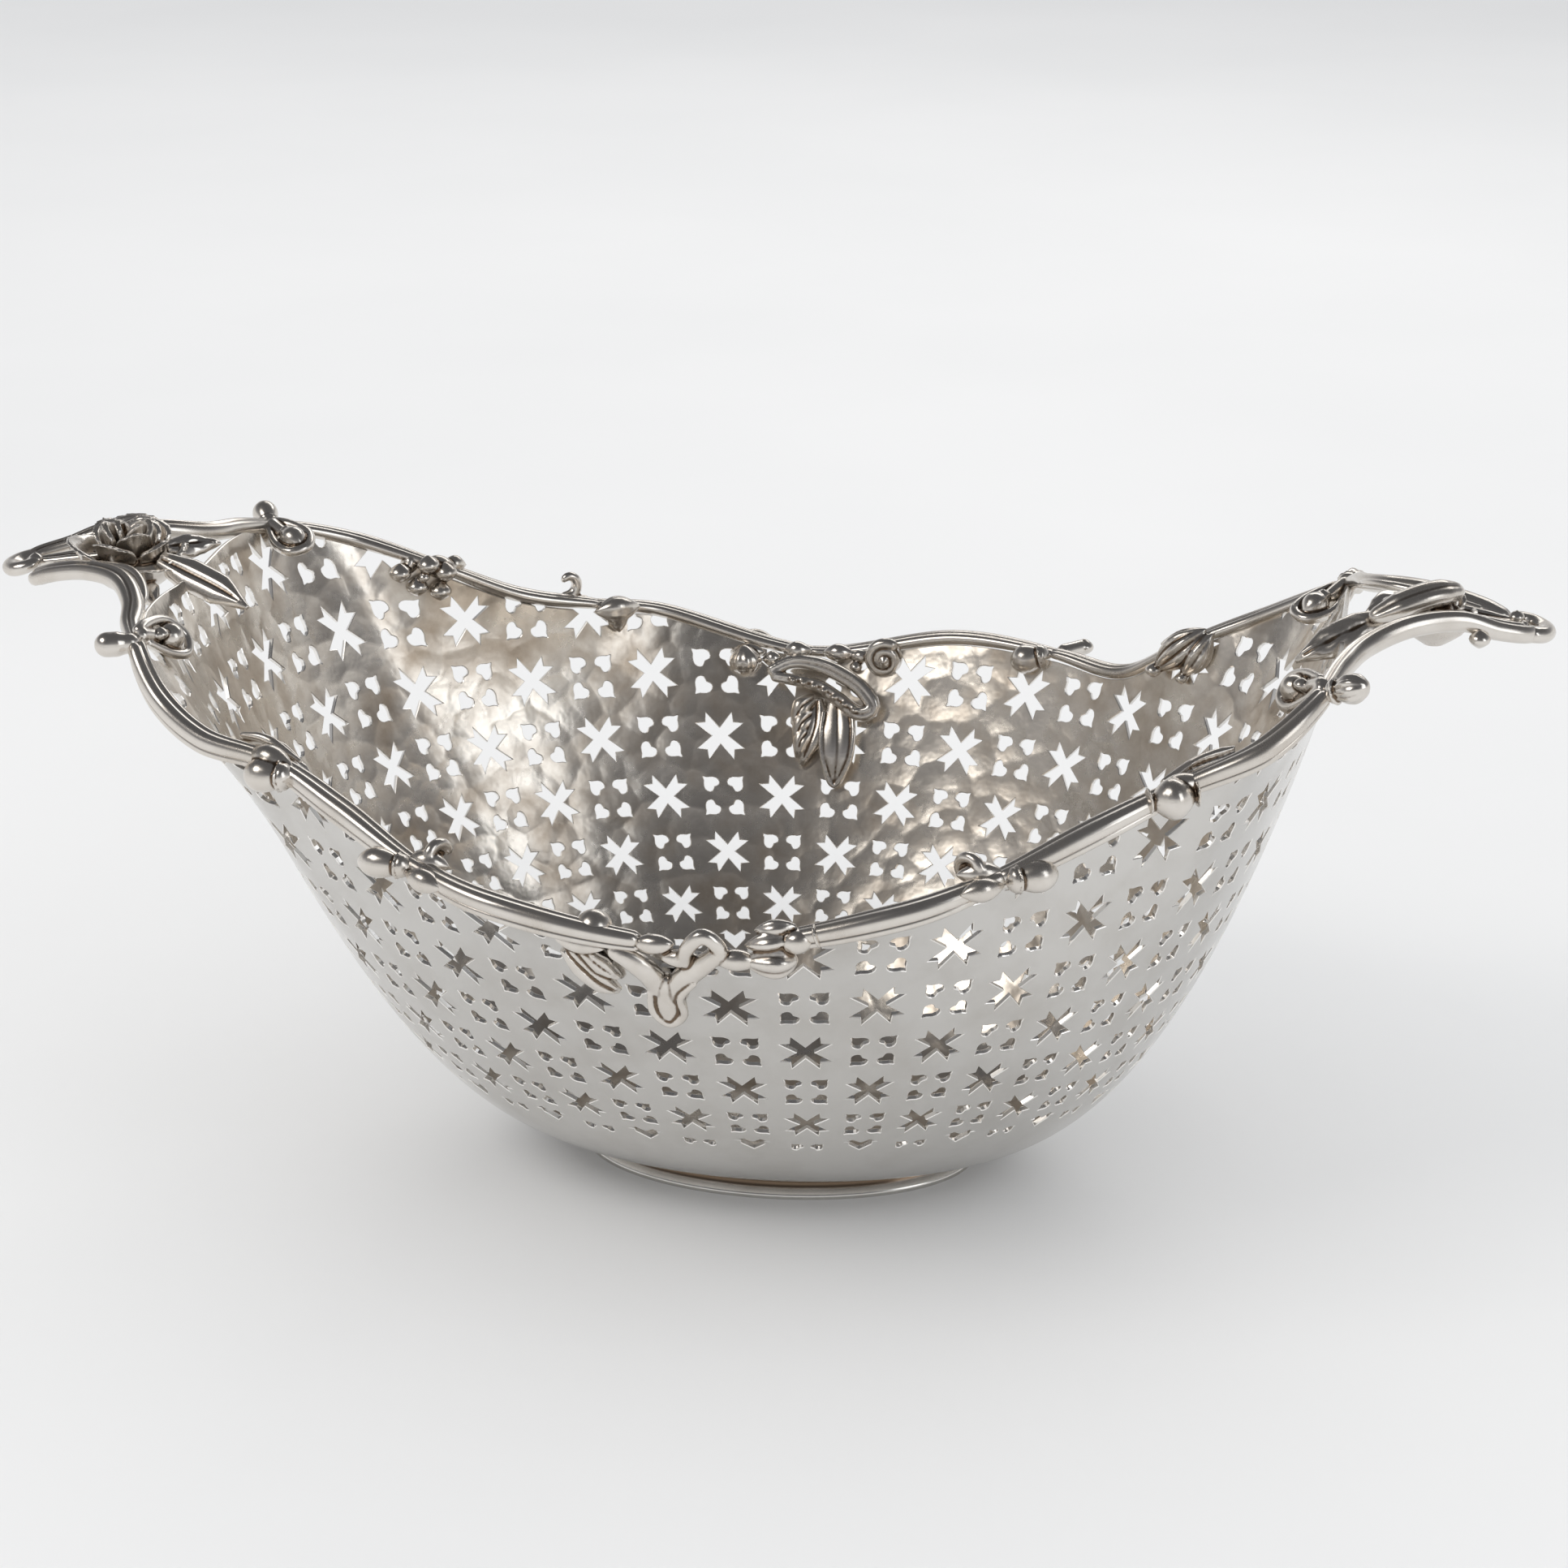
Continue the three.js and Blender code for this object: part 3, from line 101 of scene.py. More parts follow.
# Name, degrees round the oval, rise over the long side's middle, reach beyond the plain oval.
RIM_ROUTE = [
    ("knob_far_right", 22.7, 37, 11.5), ("", 32.1, 25.5, 5.8),
    ("knot_far_right", 39.3, 16.8, -1.5), ("", 49.2, 6.2, 0.5),
    ("joint_far_right", 59.7, 6.6, 0.9), ("", 73, 6.2, 2.4),
    ("crest_far", 90.8, 0.3, 3.9), ("", 109.3, 10, 2),
    ("joint_far_left", 117.7, 13.8, -4.4), ("", 128.1, 18, -6.9),
    ("knot_far_left", 139.7, 27.6, -8.1), ("", 147.2, 34.2, 1.1),
    ("knob_far_left", 156.4, 40, 5.1), ("", 166.1, 42, 1.8),
    ("end_left", 180, 41.5, -0.2), ("", 193.5, 42, 5.1),
    ("knob_near_left", 202.7, 40, 9.8), ("", 207.8, 31.3, 11), ("", 212.4, 24.5, 7.8),
    ("knot_near_left", 218, 21.3, -0.5), ("", 227.9, 15.6, -1.7),
    ("joint_near_left", 238.5, 9.1, 1.1), ("", 248.9, 5.5, 5),
    ("crest_near", 269.2, 0.2, 3.9), ("", 289.4, 7.5, 3.1),
    ("joint_near_right", 300.6, 12.5, -1.3), ("", 311.9, 19.4, -3.7),
    ("knot_near_right", 321.8, 25.4, -2.6), ("", 327.9, 32.7, 5),
    ("knob_near_right", 336.6, 41, 5.7), ("", 346.1, 42, 1.8),
    ("end_right", 360, 41.3, -0.6), ("", 373.7, 40, 4.3),
]
QUADRANTS = ("far_right", "far_left", "near_left", "near_right")
NEAR = -1
FAR = 1


# The bowl's form

def unit(vectors):
    vectors = np.asarray(vectors, float)
    return vectors / np.maximum(np.linalg.norm(vectors, axis=-1, keepdims=True), 1e-12)


def run_of(points):
    """The length along the points up to each of them."""
    return np.concatenate([[0], np.cumsum(np.linalg.norm(np.diff(points, axis=0), axis=1))])


def read_off(wanted, known, points):
    return np.stack([np.interp(wanted, known, points[:, k]) for k in range(3)], -1)


def oval(z):
    z = np.asarray(z, float)
    risen = np.maximum(z - FOOT_HEIGHT, 0)
    end_share = (risen / (END_HEIGHT - FOOT_HEIGHT)) ** END_FLARE
    side_share = (risen / (SIDE_HEIGHT - FOOT_HEIGHT)) ** SIDE_FLARE
    half_length = FOOT_HALF_LENGTH + (END_HALF_LENGTH - FOOT_HALF_LENGTH) * end_share
    half_width = FOOT_HALF_WIDTH + (SIDE_HALF_WIDTH - FOOT_HALF_WIDTH) * side_share
    return half_length, half_width, FOOT_LEAN * (1 - z / END_HEIGHT)


def oval_point(turn, z, reach=0.0):
    half_length, half_width, middle = oval(z)
    along = half_length * np.cos(turn)
    across = half_width * np.sin(turn)
    growth = 1 + reach / np.hypot(along, across)
    height = np.asarray(z, float) + 0 * along
    return np.stack([middle + along * growth, across * growth, height], -1)


def spline(points, count, closed=False):
    """count + 1 points along the centripetal Catmull-Rom curve through the given ones."""
    given = np.asarray(points, float)
    if closed:
        given = given[np.arange(-1, len(given) + 2) % len(given)]
    else:
        given = np.vstack([2 * given[0] - given[1], given, 2 * given[-1] - given[-2]])
    spans = len(given) - 3
    place = np.arange(count + 1) * spans / count
    k = np.minimum(place.astype(int), spans - 1)
    share = (place - k)[:, None]
    p0, p1, p2, p3 = (given[k + j] for j in range(4))
    d0, d1, d2 = (np.maximum(np.sum((b - a) ** 2, 1, keepdims=True) ** 0.25, 1e-6)
                  for a, b in ((p0, p1), (p1, p2), (p2, p3)))
    t1 = ((p1 - p0) / d0 - (p2 - p0) / (d0 + d1) + (p2 - p1) / d1) * d1
    t2 = ((p2 - p1) / d1 - (p3 - p1) / (d1 + d2) + (p3 - p2) / d2) * d1
    curve = p1 + t1 * share + (3 * (p2 - p1) - 2 * t1 - t2) * share ** 2
    return curve + (2 * (p1 - p2) + t1 + t2) * share ** 3


STATIONS = np.array([oval_point(math.radians(turn), SIDE_HEIGHT + rise, reach)
                     for _, turn, rise, reach in RIM_ROUTE])
STATION_NAMES = [row[0] for row in RIM_ROUTE]
STATION_SAMPLES = 40
RIM_SAMPLES = STATION_SAMPLES * len(RIM_ROUTE)
RIM = spline(STATIONS, RIM_SAMPLES, closed=True)
rim_lengths, rim_widths, rim_middles = oval(RIM[:, 2])
RIM_TURNS = np.unwrap(np.arctan2(RIM[:, 1] / rim_widths, (RIM[:, 0] - rim_middles) / rim_lengths))


def rim_at(turn):
    wanted = np.mod(np.asarray(turn, float) - RIM_TURNS[0], TAU) + RIM_TURNS[0]
    return read_off(wanted, RIM_TURNS, RIM)


def wall_point(turn, z):
    rim = rim_at(turn)
    share = np.clip((z - FOOT_HEIGHT) / (rim[..., 2] - FOOT_HEIGHT), 0, 1)
    lip = rim - oval_point(turn, rim[..., 2])
    return oval_point(turn, z) + lip * (share ** LIP_SHARPNESS)[..., None]


def wall_normal(turn, z):
    under = np.minimum(z, rim_at(turn)[..., 2] - 0.1)
    along = wall_point(turn + 0.004, under) - wall_point(turn - 0.004, under)
    upward = wall_point(turn, under + 0.1) - wall_point(turn, under)
    return unit(np.cross(along, upward))


def on_side(side, x, z, out):
    """A point off the near or far long side at x and z: out is positive outside the bowl."""
    half_length, _, middle = oval(z)
    turn = np.array(side * math.acos(min(max((x - middle) / half_length, -1), 1)))
    z = np.array(float(z))
    return wall_point(turn, z) + wall_normal(turn, z) * out


def station(name):
    return STATIONS[STATION_NAMES.index(name)]


def station_frame(name):
    i = STATION_NAMES.index(name) * STATION_SAMPLES
    along = RIM[(i + 1) % RIM_SAMPLES] - RIM[i - 1]
    along[2] = 0
    along = unit(along)
    outward = np.cross(along, UP)
    backwards = along[0] * station(name)[0] < 0 or (name.startswith("crest") and along[0] < 0)
    return (-along if backwards else along), outward


def from_rim(name):
    """Gives points by their way from a station towards the bowl's end, out of the bowl and up."""
    along, outward = station_frame(name)
    return lambda endward, out, up: station(name) + along * endward + outward * out + UP * up


def from_corner(name):
    """Gives points by their way from a station, away from the bowl's middle in x and y, and up."""
    signs = np.array([*np.sign(station(name)[:2]), 1])
    return lambda x, y, z: station(name) + signs * (x, y, z)


# Forms. Each is (vertices, faces) in millimetres.

def skin(rings):
    """A closed skin over rings of equal count, with a pole in the middle of each end ring."""
    count = len(rings[0])
    vertices = [rings[0].mean(0)[None], *rings, rings[-1].mean(0)[None]]
    faces = []
    last = 1 + (len(rings) - 1) * count
    for k in range(count):
        after = (k + 1) % count
        faces.append((0, 1 + after, 1 + k))
        faces.append((last + count, last + k, last + after))
        for low in range(1, last, count):
            faces.append((low + k, low + after, low + count + after, low + count + k))
    return np.concatenate(vertices), faces


def sweep(route, facing, outlines):
    """A skin along a route, where outlines[i] is ring i's outline across and along its face."""
    along = unit(np.gradient(route, axis=0))
    facing = np.broadcast_to(np.asarray(facing, float), route.shape)
    face = unit(facing - along * np.sum(facing * along, -1, keepdims=True))
    across = np.cross(face, along)
    return skin([route[i] + outline[:, :1] * across[i] + outline[:, 1:] * face[i]
                 for i, outline in enumerate(outlines)])


def round_shares(count):
    """Shares from 0 to 1 that crowd towards both ends, so that a rounded end is smooth."""
    return 0.5 - 0.5 * np.cos(np.linspace(0, math.pi, count + 1))


def circle(sides):
    angles = np.linspace(0, TAU, sides, endpoint=False)
    return angles, np.stack([np.cos(angles), np.sin(angles)], -1)


def along_route(points, shares):
    dense = spline(points, 60)
    lengths = run_of(dense)
    return read_off(shares * lengths[-1], lengths, dense)


def profile(values, shares):
    """Reads off (share, value) pairs, or plain values spread evenly along a form."""
    if np.ndim(values) == 1:
        values = np.column_stack([np.linspace(0, 1, len(values)), values])
    return np.interp(shares, *np.array(values, float).T)


def egg(base, tip, radius, flutes=0, depth=0.12, lead=0.0, sides=32, steps=16, round_power=0.85):
    """A bud from base to tip, fuller at its base where lead is positive, with lengthwise flutes."""
    base, tip = np.asarray(base, float), np.asarray(tip, float)
    shares = round_shares(steps)
    facing = (1.0, 0.3, 0.0) if abs(unit(tip - base) @ UP) > 0.9 else UP
    angles, ring = circle(sides)
    if flutes:
        ring = ring * (1 - depth * (1 - np.abs(np.sin(flutes * angles / 2))))[:, None]
    swell = np.sin(shares * math.pi) ** round_power * (1 + lead * np.cos(shares * math.pi))
    return sweep(base + (tip - base) * shares[:, None], facing, [ring * radius * s for s in swell])


def tube(points, radii, flat=1.0, facing=UP, steps=40, sides=20, reeds=()):
    """A round-ended tube: radii is a profile, reeds are its (angle, width, depth) grooves."""
    shares = round_shares(steps)
    route = along_route(points, shares)
    length = run_of(route)[-1]
    radius = profile(radii, shares)
    for end in (shares, 1 - shares):
        near = np.clip(end * length / np.maximum(radius, 0.1), 0, 1)
        radius = radius * np.sqrt(1 - (1 - near) ** 2)
    angles, ring = circle(sides)
    shape = np.ones(sides)
    for middle, width, depth in reeds:
        away = np.abs((angles - middle + math.pi) % TAU - math.pi)
        shape -= depth * np.exp(-(away / width) ** 2)
    ring = ring * shape[:, None] * (1, flat)
    return sweep(route, facing, [ring * size for size in radius])


def leaf(points, facing, widths, thickness=0.9, cup=0.12, veins=0, crease=0.35, scallops=0):
    """A leaf with a creased midrib: widths is a profile of its half width, scallops cut its edge."""
    rib_width, vein_height, vein_sweep, scallop_depth = 0.16, 0.28, 0.9, 0.14
    shares = round_shares(30)
    route = along_route(points, shares)
    half = np.maximum(profile(widths, shares), 0.02)
    if scallops:
        bites = np.abs(np.sin(shares * scallops * math.pi)) ** 0.5 * np.sin(shares * math.pi)
        half = half * (1 - scallop_depth * bites)
    across = np.concatenate([np.linspace(-1, 1, 15), np.linspace(1, -1, 15)[1:-1]])
    top = np.concatenate([np.ones(15), -np.ones(13)])
    dome = 1 - across ** 2
    outlines = []
    for share, width in zip(shares, half):
        body = thickness * np.sqrt(np.maximum(dome, 0)) * min(1, width / thickness)
        lift = -crease * np.exp(-(across / rib_width) ** 2) * (top > 0) * min(1, width)
        if veins:
            wave = np.cos(TAU * (share * veins - np.abs(across) * vein_sweep))
            lift += vein_height * crease * wave * (top > 0) * dome
        height = body * top + lift - cup * width * across ** 2
        outlines.append(np.stack([across * width, height], -1))
    return sweep(route, facing, outlines)


def volute(middle, first, second, radius, turns, thick, rise=0.0, start=0.0):
    """A curl that winds in from its rim to a bud in its middle, in the plane of first and second."""
    angles = np.linspace(0, turns * TAU, int(22 * turns) + 1)
    shrink = 1 - 0.82 * angles / angles[-1]
    first, second = unit(first), unit(second)
    axis = np.cross(first, second)
    spots = [middle + radius * s * (math.cos(start + a) * first + math.sin(start + a) * second)
             + axis * rise * (1 - s) for a, s in zip(angles, shrink)]
    coil = tube(spots, [(0, thick), (0.6, thick * 0.85), (1, thick * 0.6)], facing=axis,
                steps=int(26 * turns), sides=12)
    bud = egg(middle - axis * thick, middle + axis * (rise + thick), thick * 1.15, steps=8, sides=14)
    return [coil, bud]


def ball(at, radius):
    half = UP * radius * 0.9
    return egg(at - half, at + half, radius, sides=20, steps=12)


def collar(base, tip, share, radius, thick=0.55):
    """A thin ring round the line from base to tip."""
    base, tip = np.asarray(base, float), np.asarray(tip, float)
    middle = base + (tip - base) * share
    half = unit(tip - base) * thick
    return egg(middle - half, middle + half, radius, sides=24, steps=6)


def acorn(base, tip, radius, flutes=0, depth=0.1, blunt=0.55):
    """A blunt bulb that sits in a collar."""
    reach = tip - base
    return [egg(base, tip, radius, flutes, depth, lead=-0.16, round_power=blunt),
            collar(base, tip, 0.16, radius * 0.98),
            egg(base - reach * 0.12, base + reach * 0.3, radius * 0.8)]


def petal(middle, turn, reach, height, spread, base, lean, roll):
    """A cupped petal that stands on a ring round middle, its upper edge rolled outwards."""
    half_thickness = 1.15 / 2
    v, u = np.meshgrid(np.linspace(0, 1, 13), np.linspace(-1, 1, 13), indexing="ij")
    curl = roll * np.maximum(0, v - 0.72) ** 1.5 * 12
    out = reach * (0.45 + 0.55 * np.sin(v * QUARTER_TURN)) + lean * v + curl - 0.5 * u * u
    rise = base + height * v - roll * np.maximum(0, v - 0.8) ** 1.5 * 14 - 0.9 * u * u * v
    narrowing = np.sqrt(np.maximum(1 - np.maximum(0, v - 0.6) ** 2 * 4.4, 0.02))
    angle = turn + u * spread * (0.55 + 0.45 * np.sin(v * math.pi * 0.62)) * narrowing
    front, back = (
        middle + np.stack([(out + side) * np.cos(angle), (out + side) * np.sin(angle), rise], -1)
        for side in (-half_thickness, half_thickness))
    return skin([np.concatenate([near, far[::-1]]) for near, far in zip(front, back)])


# Meshes and materials

def hollows(mesh):
    """How far each vertex lies in a hollow of the mesh, smoothed over its neighbours."""
    points = np.empty(len(mesh.vertices) * 3)
    normals = np.empty(len(mesh.vertices) * 3)
    mesh.vertices.foreach_get("co", points)
    mesh.vertices.foreach_get("normal", normals)
    points, normals = points.reshape(-1, 3), normals.reshape(-1, 3)
    edges = np.empty(len(mesh.edges) * 2, int)
    mesh.edges.foreach_get("vertices", edges)
    first, second = edges.reshape(-1, 2).T
    both_ways = ((first, second), (second, first))
    bend = np.zeros(len(points))
    count = np.zeros(len(points))
    for a, b in both_ways:
        np.add.at(bend, a, np.sum(unit(points[b] - points[a]) * normals[a], 1))
        np.add.at(count, a, 1)
    bend /= np.maximum(count, 1)
    for _ in range(3):
        total = bend.copy()
        for a, b in both_ways:
            np.add.at(total, a, bend[b])
        bend = total / (1 + count)
    return bend


def new_object(name, vertices, faces, material, smooth=True):
    mesh = bpy.data.meshes.new(name)
    mesh.from_pydata((np.asarray(vertices) * MM).tolist(), [], faces)
    mesh.validate()
    if smooth:
        mesh.polygons.foreach_set("use_smooth", [True] * len(mesh.polygons))
    mesh.materials.append(material)
    made = bpy.data.objects.new(name, mesh)
    bpy.context.scene.collection.objects.link(made)
    return made


def flat_list(forms):
    made = []
    for form in forms:
        made += flat_list(form) if isinstance(form, list) else [form]
    return made


def joined(forms):
    vertices, faces, start = [], [], 0
    for points, polygons in flat_list(forms):
        vertices.append(points)
        faces += [tuple(i + start for i in polygon) for polygon in polygons]
        start += len(points)
    return np.concatenate(vertices), faces


def grown(forms, middle, share):
    """Forms drawn larger about a point."""
    return [(middle + (points - middle) * share, faces) for points, faces in flat_list(forms)]


def mark_tarnish(obj):
    tarnish = np.clip(hollows(obj.data) * TARNISH_GAIN, 0, 1)
    layer = obj.data.attributes.new("tarnish", "FLOAT", "POINT")
    layer.data.foreach_set("value", tarnish.astype(np.float32))


def dress(obj, node):
    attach(obj, "root")
    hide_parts(node)


def swept(node, forms):
    """Forms kept as they are swept."""
    obj = new_object(node + "_dressed", *joined(forms), CAST)
    mark_tarnish(obj)
    dress(obj, node)


def cast(node, forms, voxel=0.28):
    """Forms run together into one cast, its joins filled as solder and casting leave them."""
    rough = new_object(node + "_rough", *joined(forms), CAST)
    remesh = rough.modifiers.new("cast", "REMESH")
    remesh.mode = "VOXEL"
    remesh.voxel_size = voxel * MM
    remesh.use_smooth_shade = True
    soften = rough.modifiers.new("soften", "SMOOTH")
    soften.factor = 0.5
    soften.iterations = 2
    bpy.context.view_layer.update()
    evaluated = rough.evaluated_get(bpy.context.evaluated_depsgraph_get())
    finished = bpy.data.meshes.new_from_object(evaluated)
    obj = bpy.data.objects.new(node + "_dressed", finished)
    bpy.context.scene.collection.objects.link(obj)
    bpy.data.objects.remove(rough)
    finished.polygons.foreach_set("use_smooth", [True] * len(finished.polygons))
    mark_tarnish(obj)
    dress(obj, node)


def cast_at(node, name, growth, *forms):
    """A cast piece whose forms are drawn larger about a station of the rim."""
    cast(node, grown(forms, station(name), growth))


class Nodes:
    """A material's or world's node tree with short calls to add and link its nodes."""

    def __init__(self, owner):
        owner.use_nodes = True
        self.tree = owner.node_tree
        self.tree.nodes.clear()

    def feed(self, socket, value):
        if isinstance(value, bpy.types.NodeSocket):
            self.tree.links.new(value, socket)
        else:
            socket.default_value = value

    def add(self, kind, inputs=(), **settings):
        node = self.tree.nodes.new("ShaderNode" + kind)
        for key, value in settings.items():
            setattr(node, key, value)
        for key, value in dict(inputs).items():
            self.feed(node.inputs[key], value)
        return node

    def noise(self, place, scale, detail, roughness=0.5):
        return self.add("TexNoise", {"Vector": place, "Scale": scale, "Detail": detail,
                                     "Roughness": roughness}).outputs["Fac"]

    def ramp(self, factor, stops):
        node = self.add("ValToRGB", {"Fac": factor})
        elements = node.color_ramp.elements
        while len(elements) < len(stops):
            elements.new(0.5)
        for element, (position, colour) in zip(elements, stops):
            element.position = position
            element.color = (*colour, 1)
        return node.outputs["Color"]

    def mix(self, factor, first, second):
        node = self.add("Mix", data_type="RGBA")
        self.feed(node.inputs[0], factor)
        for socket, value in zip([s for s in node.inputs if s.type == "RGBA"], (first, second)):
            self.feed(socket, value)
        return [s for s in node.outputs if s.type == "RGBA"][0]

    def math(self, operation, first, second):
        node = self.add("Math", operation=operation)
        self.feed(node.inputs[0], first)
        self.feed(node.inputs[1], second)
        return node.outputs[0]

    def bump(self, distance, height, **normal):
        return self.add("Bump", {"Strength": 1.0, "Distance": distance * MM, "Height": height,
                                 **normal}).outputs["Normal"]

    def finish(self, shader, output):
        self.feed(self.add(output).inputs[0], shader.outputs[0])


TARNISH = (0.16, 0.115, 0.08, 1)
SCRATCH_DEPTH = 0.0022


def silver(name, clean, worn, roughness, wave, hammer=0.0, patina=0.3, grooves=False):
    """Silver with a slow wave in its face, fine scratches and patches of patina.

    Where asked, hammer marks dish it and its hollows are tarnished.
    """
    material = bpy.data.materials.new(name)
    n = Nodes(material)
    place = n.add("TexCoord").outputs["Object"]
    slow = n.noise(place, 34.0, 2.0, 0.4)
    cloud = n.noise(place, 62.0, 6.0, 0.62)
    fine = n.noise(place, 1500.0, 3.0, 0.6)
    patch = n.ramp(cloud, [(0.44, (0, 0, 0)), (0.72, (patina,) * 3)])
    colour = n.mix(patch, (*clean, 1), (*worn, 1))
    if grooves:
        hollow = n.add("Attribute", attribute_name="tarnish", attribute_type="GEOMETRY")
        uneven = n.math("MULTIPLY", hollow.outputs["Fac"], n.math("ADD", cloud, 0.5))
        dark = n.ramp(uneven, [(0.05, (0, 0, 0)), (0.75, (1, 1, 1))])
        colour = n.mix(dark, colour, TARNISH)
    rough = n.ramp(cloud, [(0.3, (roughness,) * 3), (0.75, (roughness * 1.7,) * 3)])
    normal = n.bump(wave, slow)
    if hammer:
        cells = n.add("TexVoronoi", {"Vector": place, "Scale": 150.0, "Smoothness": 0.25,
                                     "Randomness": 0.9}, feature="SMOOTH_F1")
        dish = n.math("POWER", cells.outputs["Distance"], 1.8)
        small = n.noise(place, 240.0, 2.0)
        normal = n.bump(hammer, n.math("ADD", dish, n.math("MULTIPLY", small, 0.35)), Normal=normal)
    normal = n.bump(SCRATCH_DEPTH, fine, Normal=normal)
    n.finish(n.add("BsdfPrincipled", {"Base Color": colour, "Metallic": 1.0, "Roughness": rough,
                                      "Normal": normal}), "OutputMaterial")
    return material


POLISHED = silver("polished_silver", (0.66, 0.645, 0.62), (0.44, 0.41, 0.37), 0.13, 0.10, patina=0.35)
HAMMERED = silver("hammered_silver", (0.80, 0.745, 0.67), (0.44, 0.355, 0.27), 0.22, 0.12,
                  hammer=0.42, patina=0.85)
# The cut edges of the holes take a brighter silver than the sheet's faces: a painted highlight along
# every edge.
EDGE_HIGHLIGHT_SILVER = silver("cut_edge_painted_highlight_silver", (0.92, 0.90, 0.87), (0.70, 0.66, 0.60), 0.22, 0.02)
CAST = silver("cast_silver", (0.74, 0.70, 0.65), (0.48, 0.42, 0.35), 0.19, 0.06,
              patina=0.5, grooves=True)
FOOT = silver("foot_silver", (0.70, 0.68, 0.65), (0.46, 0.43, 0.39), 0.15, 0.08,
              patina=0.4, grooves=True)


# Pierced sheet

def row_lines():
    lines = [PATTERN_BOTTOM - HALF_ROW_HEIGHT, PATTERN_BOTTOM]
    z, climbed = PATTERN_BOTTOM, 0.0
    side = np.array(-QUARTER_TURN)
    while z < PATTERN_TOP:
        climbed += float(np.linalg.norm(oval_point(side, z + CLIMB_STEP) - oval_point(side, z)))
        z += CLIMB_STEP
        half_length, half_width, _ = oval(z)
        girth = TAU * math.hypot(half_length, half_width) / math.sqrt(2)
        if climbed >= CELL_ASPECT * girth / COLUMNS:
            lines.append(z)
            climbed = 0.0
    return np.array(lines)


ROW_LINES = row_lines()
KNOB_TURNS = [row[1] for row in RIM_ROUTE if row[0].startswith("knob")]


def inside_knobs(turn):
    """Degrees from a place to the nearer knob of its handle, above 0 between the two."""
    degrees = np.mod(np.degrees(turn), 360)
    far_right, far_left, near_left, near_right = KNOB_TURNS
    left = np.minimum(degrees - far_left, near_left - degrees)
    right = np.minimum(far_right - degrees, degrees + 360 - near_right)
    right = np.where(degrees > 180, np.minimum(far_right + 360 - degrees, degrees - near_right), right)
    return np.maximum(left, right)


def edge_height(turn):
    ahead = rim_at(turn + 0.01) - rim_at(turn - 0.01)
    slope = ahead[..., 2] / np.hypot(ahead[..., 0], ahead[..., 1])
    rail_share = 1 - np.clip(inside_knobs(turn) / EDGE_RISE_TURN, 0, 1)
    return rim_at(turn)[..., 2] - EDGE_UNDER_RAIL * np.hypot(1, slope) * rail_share - EDGE_GAP


def turn_of(column):
    """Turns round the oval of places across the columns, which stand closer at the right end."""
    place = (np.asarray(column, float) - 0.5) / COLUMNS
    return np.radians(FIRST_COLUMN + 360 * place - COLUMN_DRIFT * (1 - np.cos(TAU * place)))


def height_of(row, turn):
    z = np.interp(row, np.arange(len(ROW_LINES)), ROW_LINES)
    return z + END_LIFT * (z - ROW_LINES[0]) * np.cos(turn) ** 2


def row_of(turn, z):
    lift = END_LIFT * np.cos(turn) ** 2
    plain = (z + lift * ROW_LINES[0]) / (1 + lift)
    return np.interp(plain, ROW_LINES, np.arange(len(ROW_LINES)))


def diagonals():
    """Each diagonal of a cell, and the direction square to it."""
    for quarter in range(4):
        a = math.pi / 4 + quarter * QUARTER_TURN
        yield np.array([math.cos(a), math.sin(a)]), np.array([-math.sin(a), math.cos(a)])


def cross_motif():
    """A diagonal cross whose arms end in a swallow tail."""
    waist, tip, spread, notch = 0.125, 0.385, 0.118, 0.29
    corners = []
    for arm, side in diagonals():
        corners += [waist * unit(arm - side), arm * tip - side * spread, arm * notch,
                    arm * tip + side * spread]
    return [np.array(corners)]


def heart_motif():
    """Four pears round a disc, their points outwards along the diagonals."""
    half = [(0.19, 0.0), (0.176, 0.035), (0.166, 0.075), (0.185, 0.11), (0.225, 0.132),
            (0.272, 0.134), (0.318, 0.112), (0.352, 0.078), (0.382, 0.042), (0.436, 0.01)]
    outline = [(x, -y) for x, y in half[:0:-1]] + half
    return [np.array([arm * x + side * y for x, y in outline]) for arm, side in diagonals()]


def half_cross_motif():
    return [0.95 * np.array([(-0.17, 0.46), (-0.36, 0.30), (-0.24, 0.30), (-0.24, 0.14), (0, -0.22),
                             (0.24, 0.14), (0.24, 0.30), (0.36, 0.30), (0.17, 0.46), (0, 0.28)])]


def half_heart_motif():
    """The two upper pears, drawn taller and lower."""
    return [loop * (1, 1.5) - (0, 0.27) for loop in heart_motif() if loop[:, 1].mean() > 0]


def inside_loop(points, loop):
    x, y = points[:, 0], points[:, 1]
    inside = np.zeros(len(points), bool)
    for (x0, y0), (x1, y1) in zip(loop, np.roll(loop, -1, axis=0)):
        at = x0 + (y - y0) * (x1 - x0) / (y1 - y0 if y1 != y0 else 1e-12)
        inside ^= ((y0 > y) != (y1 > y)) & (x < at)
    return inside


